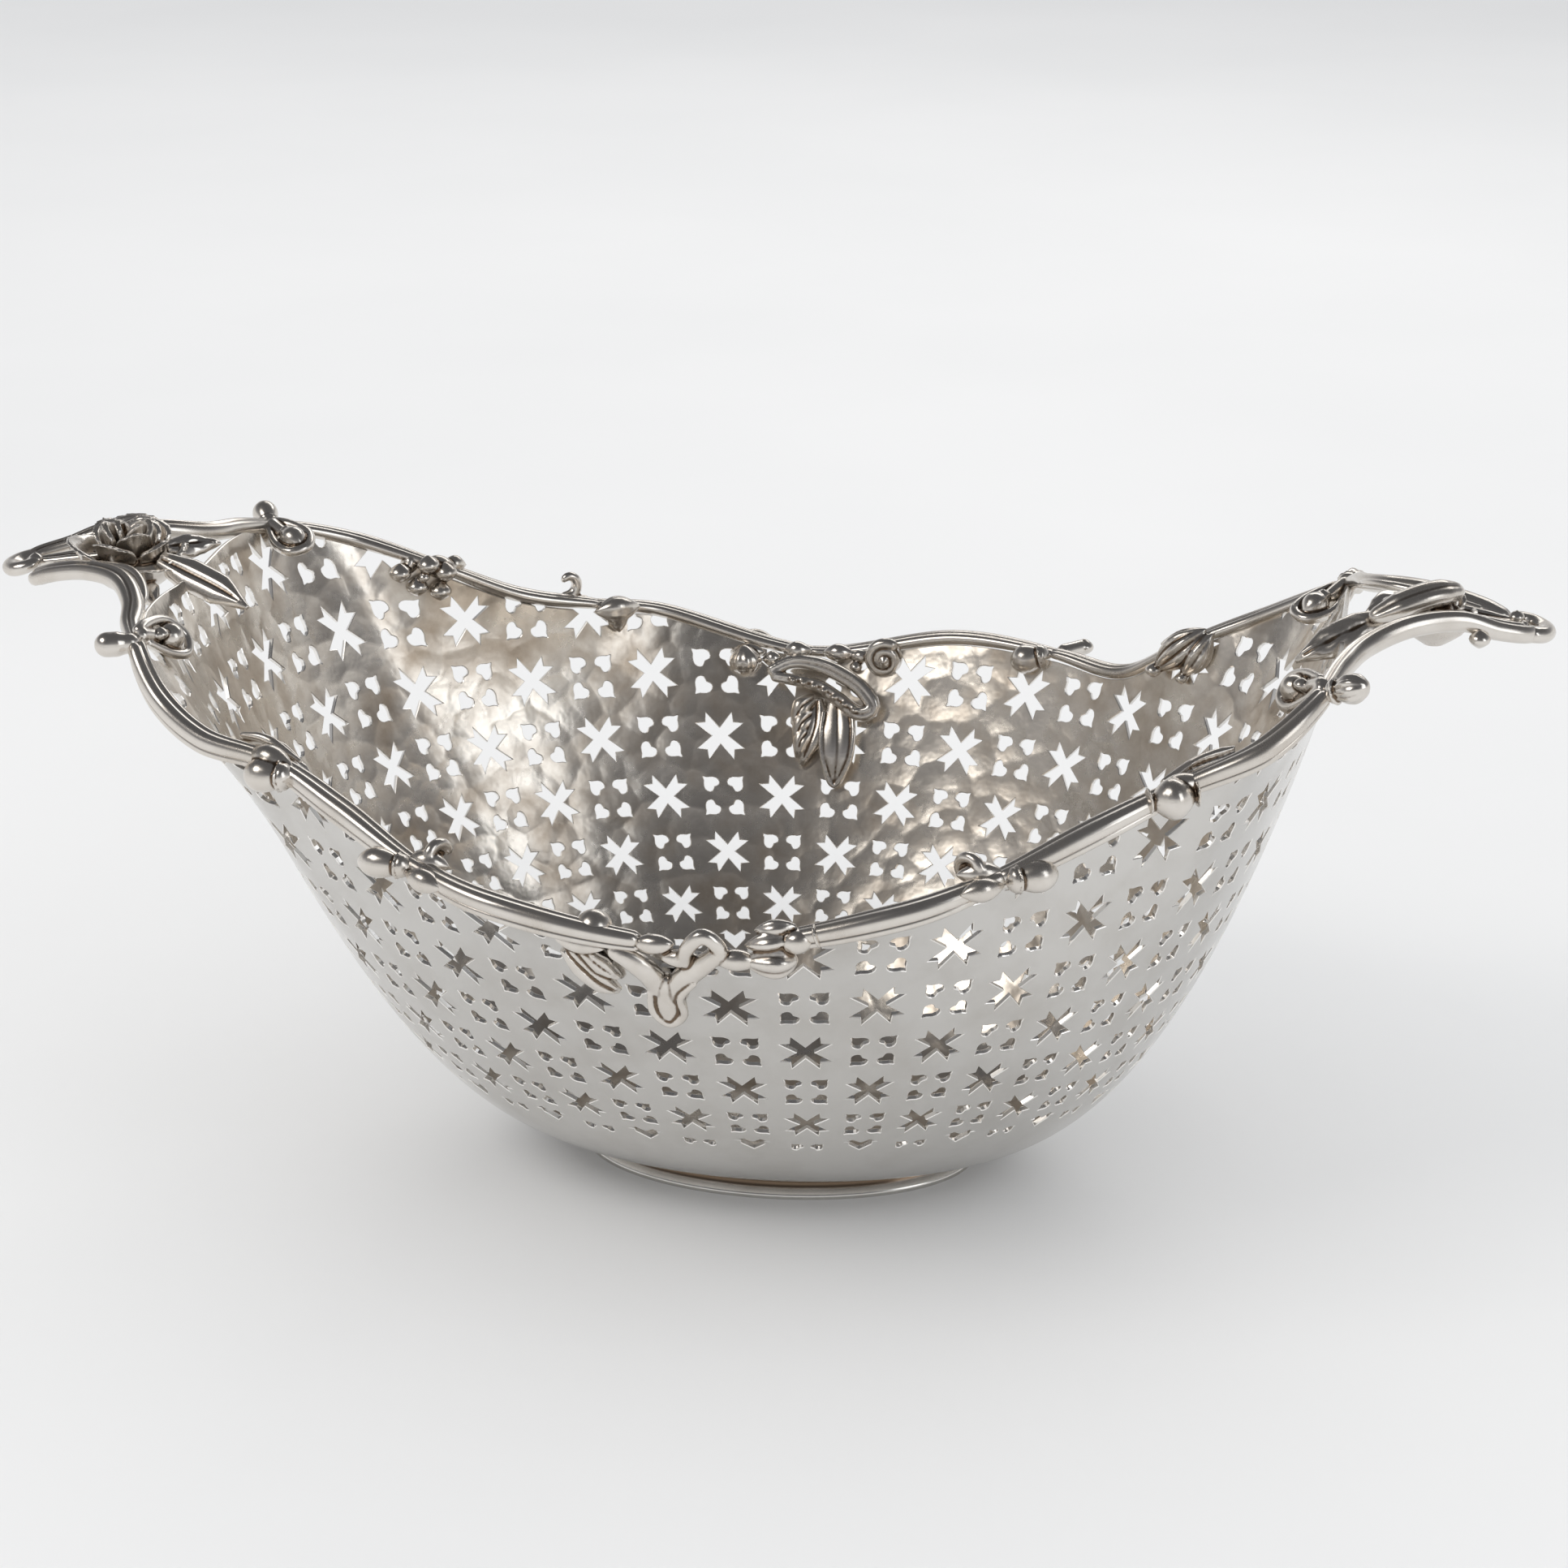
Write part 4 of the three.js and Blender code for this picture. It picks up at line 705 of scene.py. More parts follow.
def triangulated(outline, loops, limit=None):
    """The outline, less the loops and what lies above the limit, as points and triangles."""
    points, edges = [], []

    def draw(line, closed=True):
        start, size = len(points), len(line)
        points.extend(tuple(p) for p in line)
        edges.extend((start + i, start + (i + 1) % size) for i in range(size if closed else size - 1))

    for loop in (outline, *loops):
        draw(loop)
    if limit is not None:
        draw(limit, closed=False)
    (left, bottom), (right, top) = outline.min(0), outline.max(0)
    rows = max(int(round((top - bottom) * BORDER_STEPS)), 1)
    grid = np.array([(left + (right - left) * i / BORDER_STEPS, bottom + (top - bottom) * j / rows)
                     for i in range(1, BORDER_STEPS) for j in range(1, rows)])
    if len(grid):
        spacing = np.linalg.norm(grid[:, None] - np.array(points)[None], axis=2).min(axis=1)
        points += [tuple(p) for p in grid[spacing > LEAST_SPACING]]
    made, _, faces, *_ = delaunay_2d_cdt([Vector(p) for p in points], edges, [], 0, 1e-7)
    made, faces = np.array([tuple(p) for p in made]), np.array(faces)
    corners = made[faces]
    middles = corners.mean(1)
    keep = inside_loop(middles, outline)
    for loop in loops:
        keep &= ~inside_loop(middles, loop)
    if limit is not None:
        keep &= middles[:, 1] < np.interp(middles[:, 0], *limit.T)
    (ax, ay), (bx, by) = (corners[:, 1] - corners[:, 0]).T, (corners[:, 2] - corners[:, 0]).T
    twice = ax * by - ay * bx
    faces = np.where((twice < 0)[:, None], faces[:, ::-1], faces)
    return made, faces[keep & (np.abs(twice) > TINY)]


def motif_at(column, row):
    crossed = (column + row) % 2 == 1
    if row == 0:
        return half_cross_motif() if crossed else half_heart_motif()
    return [loop * MOTIF_SIZE for loop in (cross_motif() if crossed else heart_motif())]


def column_outline(low, high):
    """The border of one column between two row lines, with shared points on both sides."""
    rise = np.arange(int(round((high - low) * BORDER_STEPS)) + 1) / BORDER_STEPS + low
    along = np.arange(1, BORDER_STEPS) / BORDER_STEPS
    return np.array([(0, low)] + [(u, low) for u in along] + [(1, v) for v in rise]
                    + [(u, high) for u in along[::-1]] + [(0, v) for v in rise[:0:-1]])


def pierced_sheet():
    """The points, normals and triangles of the sheet's outer face."""
    spots, triangles, known = [], [], {}

    def key_of(place, row):
        return round(place * KEYS_PER_CELL) % (COLUMNS * KEYS_PER_CELL), round(row * KEYS_PER_CELL)

    def add(points, faces, column):
        places = []
        for u, row in points:
            key = key_of(column + u, row)
            if key not in known:
                known[key] = len(spots)
                turn = float(turn_of(column + u))
                spots.append((turn, float(height_of(row, turn))))
            places.append(known[key])
        triangles.extend(tuple(places[i] for i in face) for face in faces)

    templates = {}
    share = np.linspace(0, 1, EDGE_POINTS)
    for column in range(COLUMNS):
        turns = turn_of(column + share)
        top = row_of(turns, edge_height(turns))
        row = 0
        while row + 1 < top.min() - 0.06:
            kind = (row == 0, (column + row) % 2)
            if kind not in templates:
                loops = [loop + 0.5 for loop in motif_at(column, row)]
                templates[kind] = triangulated(column_outline(0, 1), loops)
            points, faces = templates[kind]
            add(points + (0, row), faces, column)
            row += 1
        high = min(math.ceil(top.max() + 0.3), len(ROW_LINES) - 1)
        loops = [loop + (0.5, 0.5 + k) for k in range(row, high) for loop in motif_at(column, k)]
        points, faces = triangulated(column_outline(row, high), loops, np.stack([share, top], -1))
        add(points, faces, column)

    # The plain floor under the pattern: rings down to the foot, then rings across it to a pole.
    turns = turn_of(np.arange(COLUMNS * BORDER_STEPS) / BORDER_STEPS)
    count = len(turns)

    def band(low, high):
        for k in range(count):
            after = (k + 1) % count
            triangles.append((low[k], low[after], high[after]))
            triangles.append((low[k], high[after], high[k]))

    above = [known[key_of(i / BORDER_STEPS, 0)] for i in range(count)]
    for ring in reversed(range(FLOOR_RINGS)):
        below = len(spots) + np.arange(count)
        for turn in turns:
            rise = float(height_of(0, turn)) - FOOT_HEIGHT
            spots.append((float(turn), FOOT_HEIGHT + rise * (ring / FLOOR_RINGS) ** 2))
        band(below, above)
        above = below
    outer = wall_point(*np.array(spots).T)
    normals = wall_normal(*np.array(spots).T)
    centre = np.array([float(oval(FOOT_HEIGHT)[2]), 0, FOOT_HEIGHT])
    disc = [centre + (outer[above] - centre) * share for share in DISC_RINGS] + [centre[None]]
    for ring in range(len(DISC_RINGS)):
        below = len(outer) + ring * count + np.arange(count)
        band(below, above)
        above = below
    outer = np.concatenate([outer, *disc])
    pole = len(outer) - 1
    triangles += [(pole, above[(k + 1) % count], above[k]) for k in range(count)]
    downward = np.tile(-UP, (len(outer) - len(normals), 1))
    return outer, np.concatenate([normals, downward]), np.array(triangles)


def bowl():
    outer, normals, triangles = pierced_sheet()
    used, triangles = np.unique(triangles, return_inverse=True)
    triangles = triangles.reshape(-1, 3)
    outer, normals = outer[used], normals[used]
    inner = outer - normals * SHEET
    size = len(outer)
    edges = np.concatenate([triangles[:, [0, 1]], triangles[:, [1, 2]], triangles[:, [2, 0]]])
    border = edges[~np.isin(edges @ (size, 1), edges @ (1, size))]

    # Each hole's edge is rounded towards the hole.
    step = unit(outer[border[:, 1]] - outer[border[:, 0]])
    holeward = np.cross(step, normals[border[:, 0]])
    away = np.zeros((size, 3))
    for end in (0, 1):
        np.add.at(away, border[:, end], holeward)
    length = np.linalg.norm(away, axis=1, keepdims=True)
    away = unit(away) * np.clip(2 / np.maximum(length, TINY), 1, 1.8)
    corners = np.unique(border)
    number = {int(c): i for i, c in enumerate(corners)}
    lip_out = outer[corners] + (away[corners] - normals[corners]) * EDGE_ROUNDING
    lip_in = inner[corners] + (away[corners] + normals[corners]) * EDGE_ROUNDING
    vertices = np.concatenate([outer, inner, lip_out, lip_in])
    sheet = triangles.tolist()
    walls = []
    for pair in border.tolist():
        a, b = ([c, 2 * size + number[c], 2 * size + len(corners) + number[c], c + size]
                for c in pair)
        walls += [(a[k], a[k + 1], b[k + 1], b[k]) for k in range(3)]
    inside = [(c + size, b + size, a + size) for a, b, c in sheet]
    obj = new_object("bowl_dressed", vertices, sheet + inside + walls, POLISHED)
    mesh = obj.data
    mesh.materials.append(HAMMERED)
    # The hole walls take the brighter silver of the cut edges, a painted highlight.
    mesh.materials.append(EDGE_HIGHLIGHT_SILVER)
    kinds = [0] * len(sheet) + [1] * len(inside) + [2] * len(walls)
    mesh.polygons.foreach_set("material_index", kinds)

    # The faces of the sheet shade from the true form, and the cut edges stay crisp.
    every = np.empty(len(mesh.loops), int)
    mesh.loops.foreach_get("vertex_index", every)
    split = np.empty((len(mesh.loops), 3))
    side = len(sheet) * 3
    split[:side] = normals[every[:side]]
    split[side:2 * side] = -normals[every[side:2 * side] - size]
    points = vertices[np.array(walls)]
    flat = unit(np.cross(points[:, 2] - points[:, 0], points[:, 3] - points[:, 1]))
    split[2 * side:] = np.repeat(flat, 4, axis=0)
    mesh.normals_split_custom_set(split.tolist())
    dress(obj, "bowl_body")


def foot():
    middle = float(oval(FOOT_HEIGHT)[2])
    _, ring = circle(FOOT_SIDES)
    rings = [np.column_stack([ring * (FOOT_HALF_LENGTH + out, FOOT_HALF_WIDTH + out) + (middle, 0),
                              np.full(FOOT_SIDES, z)]) for out, z in FOOT_SECTION]
    faces = []
    for i in range(len(rings)):
        low, high = i * FOOT_SIDES, (i + 1) % len(rings) * FOOT_SIDES
        for k in range(FOOT_SIDES):
            after = (k + 1) % FOOT_SIDES
            faces.append((low + k, low + after, high + after, high + k))
    obj = new_object("foot_dressed", np.concatenate(rings), faces, FOOT)
    mark_tarnish(obj)
    dress(obj, "foot_ring")


# Rim

def rail_route(start, end, trim_start, trim_end):
    """The rim between two stations, cut back by a trim at each end, or run on where it is below 0."""
    i, j = (STATION_NAMES.index(name) * STATION_SAMPLES for name in (start, end))
    if i > j:
        i, j = j, i
        trim_start, trim_end = trim_end, trim_start
    dense = RIM[np.arange(i - RUN_ON_SAMPLES, j + RUN_ON_SAMPLES + 1) % RIM_SAMPLES]
    lengths = run_of(dense)
    lengths -= lengths[RUN_ON_SAMPLES]
    wanted = np.linspace(trim_start, lengths[-1 - RUN_ON_SAMPLES] - trim_end, RAIL_STEPS)
    return read_off(wanted, lengths, dense)


def rail(node, start, end, trim_start, trim_end):
    """Reeds side by side that run into one another, drawn in towards each end of the rail."""
    route = rail_route(start, end, trim_start, trim_end)
    along = unit(np.gradient(route, axis=0))
    outward = unit(np.cross(along, UP) * (1, 1, 0))
    upright = unit(np.cross(outward, along))
    share = np.linspace(0, 1, len(route))
    fullness = [np.sin(np.clip(part * 3.2, 0, QUARTER_TURN)) for part in (share, 1 - share)]
    pinch = 0.72 + 0.28 * fullness[0] * fullness[1]
    rounding = np.sqrt(1 - np.clip(1 - np.minimum(share, 1 - share) * 26, 0, 1) ** 2) * 0.75 + 0.25
    forms = []
    for offset, rise, radius in NEAR_REEDS if "_near_" in node else FAR_REEDS:
        middle = route + (outward * offset + UP * rise) * pinch[:, None]
        ring = circle(20)[1] * radius
        forms.append(sweep(middle, upright, [ring * p * r for p, r in zip(pinch, rounding)]))
    swept(node, forms)


def rails():
    for quadrant in QUADRANTS:
        knob, knot, joint = (kind + quadrant for kind in ("knob_", "knot_", "joint_"))
        crest = "crest_" + quadrant.split("_")[0]
        rail("rim_rail_end_" + quadrant, knob, knot, 0.5, -0.8)
        rail("rim_rail_middle_" + quadrant, knot, joint, -0.8, -1.0)
        rail("rim_rail_centre_" + quadrant, joint, crest, -1.0, CREST_TRIMS[quadrant])


# Knobs and scrolls at the foot of each handle. A knob has a base, tip, flutes, radius and bluntness.

KNOBS = {
    "near_right": ((0.8, 0, 0), (8, 4, 3), 9, 3.1, 0.55),
    "far_left": ((0.3, 0.4, 0), (4, 8, 2.6), 0, 2.8, 0.6),
    "far_right": ((-0.3, 0.4, 0), (2.2, 8.4, -1.4), 7, 3, 0.55),
}
INNER_BUDS = {
    "near_left": (-4.5, -9, -2),
    "near_right": (-5.8, -9, -3),
    "far_left": (-7.3, -8, -0.5),
    "far_right": (-6.8, -9, -2.4),
}


def knobs_and_scrolls():
    for quadrant in QUADRANTS:
        at = from_corner("knob_" + quadrant)
        if quadrant in KNOBS:
            base, tip, flutes, radius, blunt = KNOBS[quadrant]
            knob = acorn(at(*base), at(*tip), radius, flutes, 0.16, blunt)
        else:
            knob = [tube([at(-1, -0.4, -0.2), at(3.6, 1.4, -0.2), at(7.6, 3.2, 0)],
                         [(0, 2), (0.35, 2.2), (0.5, 2.6), (1, 2.6)])]
        cast("handle_knob_" + quadrant, knob)
        start = at(0, -1, 1.2)
        finish = at(*INNER_BUDS[quadrant])
        reach = unit(finish - start)
        face = unit((-math.copysign(0.4, finish[0]), -0.62, 0.68))
        across = unit(np.cross(face, reach))
        loop = [start, start + reach * 3.5 + across * 2.6, finish + across * 4.1,
                finish + reach * 4.6 + across * 0.8, finish + reach * 3.6 - across * 3,
                finish - across * 3.7 - reach * 0.8, start + reach * 2 - across * 1.4]
        cast("inner_scroll_" + quadrant, [
            tube(loop, [(0, 1.5), (0.25, 1.2), (0.6, 1.15), (1, 0.9)], facing=face, steps=64, sides=14),
            egg(finish - reach * 4, finish + reach * 3.4 + face, 2.9, round_power=0.7, lead=-0.1),
            ball(finish - reach * 3.2 + face * 1.6, 1.7),
            egg(finish - across * 2.6, finish + across * 2.6, 2.4),
            tube([start, start + reach * 2.4, finish - reach * 3], (1.7, 1.5))])


# Knots half way along each quarter of the rim

def knots():
    name = "knot_near_left"
    at = from_rim(name)
    cast_at("rim_knot_near_left", name, 1.2, acorn(at(-4.6, 1.8, -1.4), at(3.6, 2.6, -1.8), 2.9),
        egg(at(-4.6, 0.2, 0), at(4.4, 0.4, 1.2), 2.4))
    vein = (0.5, 0.9, 0.3)
    cast_at("knot_leaf_near_left", name, 1.25,
        leaf([at(8, -3.2, 1.6), at(3, -4.6, 0.2), at(-4, -4.8, -3.2)], at(0, -1, 0.9) - station(name),
             [(0, 0.8), (0.3, 3), (0.6, 3.2), (1, 0.4)], thickness=1.1, crease=0.5),
        tube([at(8, -4.2, 1.4), at(3, -6.2, 0.2), at(-3.6, -5.6, -3.2)], vein),
        tube([at(7.6, -2.2, 2.6), at(3, -2.6, 2.6), at(-3.6, -3.4, -0.6)], vein))
    name = "knot_near_right"
    at = from_rim(name)
    band = at(-6.2, 1.4, -1.4), at(2.4, 1.4, -0.6)
    cast_at("rim_knot_near_right", name, 1.12, egg(at(-6.2, 2, -1.6), at(2.4, 1.8, -0.8), 3.7),
        collar(*band, 0.02, 2.5), collar(*band, 1, 2.7),
        egg(at(-5, 0, -0.5), at(5, 0.4, 1.2), 2.3))
    cast_at("knot_leaf_near_right", name, 1.25, *(
        leaf([at(-2, -2.6, -0.6 + shift * 0.3), at(4, -4.2 - turn * 2, 1.2 + shift * 0.7),
              at(10.5, -4.4 - turn * 3, 3.2 + shift * 0.5)], at(0, -1, 1.2) - station(name),
             [(0, 0.7), (0.4, 1.9), (1, 0.4)], thickness=0.8, crease=0.5)
        for shift, turn in ((-1.6, -0.2), (0, 0), (1.6, 0.2), (0.6, 0.5))))
    name = "knot_far_left"
    at = from_rim(name)
    spots = ((7.2, -0.2), (4, -3.2), (-0.6, -4.4), (-1.8, -0.6), (1.6, 1.1))
    cast_at("rim_knot_far_left", name, 1.15, [ball(at(e, -2.8, u), 2.3) for e, u in spots],
        ball(at(2.6, -3.4, -1.2), 1.2), egg(at(3.4, -0.6, 0.4), at(-4.4, -0.6, -0.4), 2.3),
        egg(at(-1.6, 0.8, 0.2), at(-6.4, 1.2, -0.6), 1.8), egg(at(7, 0, 1), at(3, -0.4, 0.6), 2))
    name = "knot_far_right"
    at = from_rim(name)
    cast_at("rim_knot_far_right", name, 1.3, egg(at(4.2, -1.4, 4), at(-4.6, -3.2, -4.6), 3.1, 8, 0.2),
        egg(at(5.4, -1.6, 3.4), at(0.8, -3.2, -5), 2.5, 7, 0.18), ball(at(-4.4, -3.6, -4.4), 1.5),
        ball(at(0.9, -3.6, -4.9), 1.25), egg(at(-5, 0, -0.8), at(5, 0, 1.2), 2.2))


# Buds at the joint of the rails nearer the middle of each long side

def joint_buds():
    name = "joint_near_left"
    at = from_rim(name)
    cast_at("outer_bud_near_left", name, 1.15, acorn(at(-0.6, 1.4, -0.2), at(8.4, 3.8, -0.4), 2.6),
        egg(at(-1.2, 2.4, -0.8), at(-9.2, 1.9, -2), 2.1))
    along, outward = station_frame(name)
    cast_at("inner_bud_near_left", name, 1.35,
        volute(at(-2.6, -3, 0.2), -outward, UP, 2.5, 1.3, 1, rise=-0.6),
        egg(at(1, -0.4, 0.4), at(-5, -3.2, -0.6), 1.9))
    name = "joint_near_right"
    at = from_rim(name)
    cast_at("outer_bud_near_right", name, 1.12, acorn(at(1, 1.4, -0.2), at(9.8, 1.6, 0.2), 2.9),
        egg(at(-8.6, 2.2, -1.2), at(-0.2, 2, -0.6), 2.1))
    cast_at("inner_bud_near_right", name, 1.35,
        volute(at(-4, -2.8, 0.6), -along, UP, 2.3, 1.3, 0.95, rise=-0.6),
        egg(at(1, -0.6, 0.4), at(-6, -2.6, 0.2), 1.8))
    name = "joint_far_left"
    at = from_rim(name)
    along, _ = station_frame(name)
    cast_at("outer_bud_far_left", name, 1.2,
        volute(at(5.2, 2.2, 4.4), -UP, -along, 3.1, 0.78, 1.25, start=-0.5)[:1],
        tube([at(1, 0.8, 0.6), at(4.4, 2, 0.8), at(6.4, 2.2, 1.4)], (1.2, 1.3)))
    cast_at("inner_bud_far_left", name, 1.2, egg(at(1.4, -2.2, -0.8), at(-8.2, -2.4, -0.6), 2.7, 4, 0.1),
        egg(at(-3.2, -1.6, 0.6), at(-3.6, -2.8, -5.4), 2.2))
    name = "joint_far_right"
    at = from_rim(name)
    cast_at("outer_bud_far_right", name, 1.15,
        tube([at(0.4, 0.6, 0), at(1.6, 3.6, 0.2), at(3.1, 7.2, 0.3)],
             [(0, 1.7), (0.7, 1.6), (1, 1.7)]), ball(at(2.9, 6.6, 0.3), 2))
    cast_at("inner_bud_far_right", name, 1.12, acorn(at(-1, -1.6, 0), at(-8, -4.2, -2), 3))


# Crests in the middle of each long side

def near_crest():
    def at(x, z, out=2.6):
        return on_side(NEAR, x, z, out)

    face = (0, -1, 0.15)
    cast("crest_near_ribbon", [
        tube([at(-15.4, 84.6, 1.6), at(-12, 83.6, 2.4), at(-8.4, 80.6, 3), at(-5.9, 74.6, 3)],
             [(0, 1.5), (0.4, 2.3), (1, 2.5)], flat=0.85, facing=face),
        tube([at(5.8, 86.4, 1.8), at(2.2, 83.4, 2.8), at(-1.8, 79.4, 3.2), at(-4.2, 73.6, 3.2)],
             (1.7, 2.4, 2.6), flat=0.85, facing=face),
        tube([at(-5.2, 79.5, 2.6), at(-5, 74, 3.2), at(-5, 67.6, 3.4)],
             (2.6, 3.2, 3.4), flat=0.8, facing=face),
        tube([at(-8, 77, 4.6), at(-7.9, 71.6, 5.4), at(-5, 68.8, 5.6), at(-2.1, 71.6, 5.6),
              at(-2.2, 76.6, 5.6), at(0.8, 80.8, 5)], (0.6, 0.95, 0.6), facing=face),
        tube([at(-1.2, 82.6), at(-0.6, 86.6, 2.2), at(2.4, 89.2, 1.4), at(5.2, 87, 1.8), at(5.4, 83.4)],
             (1.4, 1.6, 1.4)),
        egg(at(-11, 85.2, 0.4), at(-3, 86, 0.8), 2, round_power=0.6),
        egg(at(-6, 83.6, 2), at(2, 84, 2), 1.8),
        egg(at(4.4, 84.4, 2.2), at(12, 84.4), 2.1, round_power=0.5)])
    cast("crest_near_leaf", [
        leaf([at(-24, 83, 1.4), at(-21.4, 80), at(-18.2, 76.2, 3), at(-15.2, 72.4, 1.6)], face,
             [(0, 1.4), (0.35, 2.5), (0.75, 2.3), (1, 0.9)], thickness=1.6, crease=0.9),
        leaf([at(-20.5, 83, 1.6), at(-17.6, 80.4, 2.4), at(-14.6, 76.4, 1.8)], face,
             (1.2, 2, 0.8), thickness=1.4, crease=0.6),
        egg(at(-26, 84.6, 1), at(-16, 84, 1.6), 1.9)])
    cast("crest_near_dome", [
        egg((-19.4, -84.4, 84.2), (-19.4, -84.8, 90.4), 3.6, round_power=0.5),
        collar((-19.4, -84.4, 85.4), (-19.4, -84.4, 91), 0.2, 4.3, 0.8),
        egg((-25, -85.6, 86), (-14, -85.6, 85.8), 2.2)])
    cast("crest_near_shell", [
        egg(at(9.4, 84.2, 2.4), at(19.4, 84.6), 3.5, 5, 0.24, lead=-0.2, round_power=0.6),
        egg(at(16.4, 87, 1), at(22.4, 88.6, 0.8), 2.4, round_power=0.5),
        collar(at(18, 87.6, 1), at(23.4, 89.4, 0.8), 0.9, 2.5, 0.7),
        egg(at(9.6, 86.6, 0.8), at(19, 88.2, 0.6), 2.3, 5, 0.2),
        egg(at(11.4, 88.4, -1), at(19.6, 89.6, -1.2), 1.9, 5, 0.2)])


def far_crest():
    def at(x, z, out=-4.2):
        return on_side(FAR, x, z, out)

    face = (0, -1, 0.25)
    loop = [at(-9.8, 80.2), at(-4, 82.2, -4.6), at(2, 81.8, -4.8), at(8.5, 80, -4.8),
            at(13.8, 77.4, -4.6), at(16.2, 74.2), at(13.2, 72.8), at(8, 75.2, -4.4),
            at(3, 77.6, -4.6), at(-2.5, 78.6, -4.4), at(-9, 79.6)]
    beads = ((-3.6, 78.4), (-1, 77.9), (1.6, 77.4), (4.2, 76.6), (6.8, 75.4), (9.4, 74.2), (12, 73.2))
    cast("crest_far_loop", [
        tube(loop, [(0, 1.4), (0.3, 2), (0.6, 1.9), (0.8, 1.5), (1, 1.3)], facing=face, steps=80,
             reeds=((QUARTER_TURN, 0.35, 0.25),)), [ball(at(x, z, -5.8), 0.8) for x, z in beads]])
    cast("crest_far_fluted_leaf", [
        [leaf([at(1.6 + 0.4 * k, 75.6 - 2.8 * k, -2.6), at(-1 + 0.2 * k, 73.4 - 3.4 * k),
               at(-3 + 0.8 * k, 69.8 - 3.4 * k, -3)], face,
              [(0, 1.4), (0.45, 2.5), (1, 0.7)], thickness=1.3, crease=0.5) for k in range(3)],
        leaf([at(2.4, 75.4, -2.4), at(2.6, 70.4, -3.6), at(1.4, 66, -3.8), at(-0.6, 61.6, -2.4)], face,
             [(0, 1.8), (0.3, 2.9), (0.6, 2.8), (1, 0.6)], thickness=1.1, crease=0.5)])
    cast("crest_far_pointed_leaf", [
        leaf([at(7.2, 75, -2.6), at(8, 69.4, -4), at(8.2, 64, -4), at(7.6, 57.4, -2.2)], face,
             [(0, 2.4), (0.35, 4.1), (0.65, 3.8), (1, 0.3)], thickness=1, crease=0.3, cup=-0.05),
        tube([at(4.2, 73, -3.8), at(4, 68, -4.6), at(4.8, 62.6), at(7.6, 57.6, -2.8),
              at(11.2, 62.6), at(12, 68, -4.6), at(11.2, 73, -4)],
             (0.5, 0.7, 0.5), facing=face, steps=60, sides=12)])
    crest = from_rim("crest_far")
    cast("crest_far_ball", [
        egg(crest(-15.4, -5.4, 2.8), crest(-15, -5.8, -5), 3.9, 9, 0.12, round_power=0.7),
        egg(crest(-19.4, -2.6, 0), crest(-10.6, -2.6, 0.4), 2.2),
        egg(crest(-19, 2.2, 2.2), crest(-9, 2.2, 1.8), 2.3, 3, 0.12),
        egg(crest(-11.4, -4.4, -0.8), crest(-6.2, -4.2, -0.6), 2),
        egg(crest(-6.8, -3.2, 1), crest(0.4, -3.4, 1.6), 2.3)])
    along, _ = station_frame("crest_far")
    cast("crest_far_snail", [
        volute(crest(17.6, -4.6, 0.6), along, UP, 4, 1.9, 1.5, rise=1.2, start=0.8),
        egg(crest(17.6, -1.2, 0.6), crest(17.4, -5, 0.6), 4.3), ball(crest(10.8, -4, -1.8), 1.6),
        egg(crest(2.6, -2.2, 0.8), crest(10.4, -2.4, 0.8), 2.3),
        egg(crest(9, -2.6, 0.2), crest(14.6, -2.6, 0.4), 1.7)])


# Handles: each is drawn as the right one and turned half round for the left.

# For each end: the rose's place past the oval, its turn, its petals' growth, its heart's depth and
# radius, the routes of its two leaves, and the veins of the large one.
FLOWERS = {
    "right": {"rose": 16.9, "turn": -1.6, "growth": 0.84, "heart": (0.6, 6),
              "large": [(7.5, -5.9, 4.4), (0.4, -10.1, 2.4), (-5.5, -12.3, -0.4), (-10.6, -13.2, -3.5)],
              "small": [(11.5, 5, 4.8), (7.4, 1.2, 5.2), (2.9, -2.6, 3.1)], "veins": 4},
    "left": {"rose": 13, "turn": -1.25, "growth": 1.16, "heart": (4, 8.2),
             "large": [(6, -2.6, 4.2), (0, -4.2, 2.2), (-8.5, -7, -0.6), (-15, -10, -3.2)],
             "small": [(6.4, 3.6, 4.8), (1.4, 5.8, 5.2), (-3.8, 9.8, 4.6)], "veins": 0},
}
# The leaves face a little to the near side.
LEAF_FACE = (0, -0.72, 0.69)
# Each petal's turn, reach, height, half spread, base, lean and roll.
PETALS = [
    (0.1, 8.8, 7, 0.95, -3.6, 0.9, 0.35), (-1.6, 9.2, 9.6, 0.9, -2.2, 1.2, 0.7),
    (1.7, 8.6, 8, 0.85, -2.8, 1, 0.5), (3, 8.2, 9.6, 1.1, -1, 0.6, 0.4),
    (-0.7, 6.3, 8.4, 0.9, -1, 0.4, 0.4), (1.1, 6.2, 7.8, 0.85, -1, 0.4, 0.4),
    (2.7, 6, 9.4, 0.9, -0.6, 0.3, 0.3), (-2.5, 6.2, 9.6, 0.9, -0.6, 0.4, 0.4),
    (0.3, 4.1, 8.8, 1, 0, 0.2, 0.3), (2.3, 3.9, 9.2, 1, 0, 0.2, 0.2),
    (-1.9, 4, 9.4, 1, 0, 0.2, 0.2), (0.9, 2.1, 9.2, 1.4, 0.2, 0.1, 0.1),
    (-2.2, 2, 9.4, 1.4, 0.2, 0.1, 0.1),
]
FOLDED_PETAL = np.array([(144.4, 0.2, 134.8), (137, -5.2, 135), (125.6, -9, 130.8)])
BAR_GROOVES = ((math.pi * 0.42, 0.3, 0.3), (-math.pi * 0.42, 0.3, 0.2))


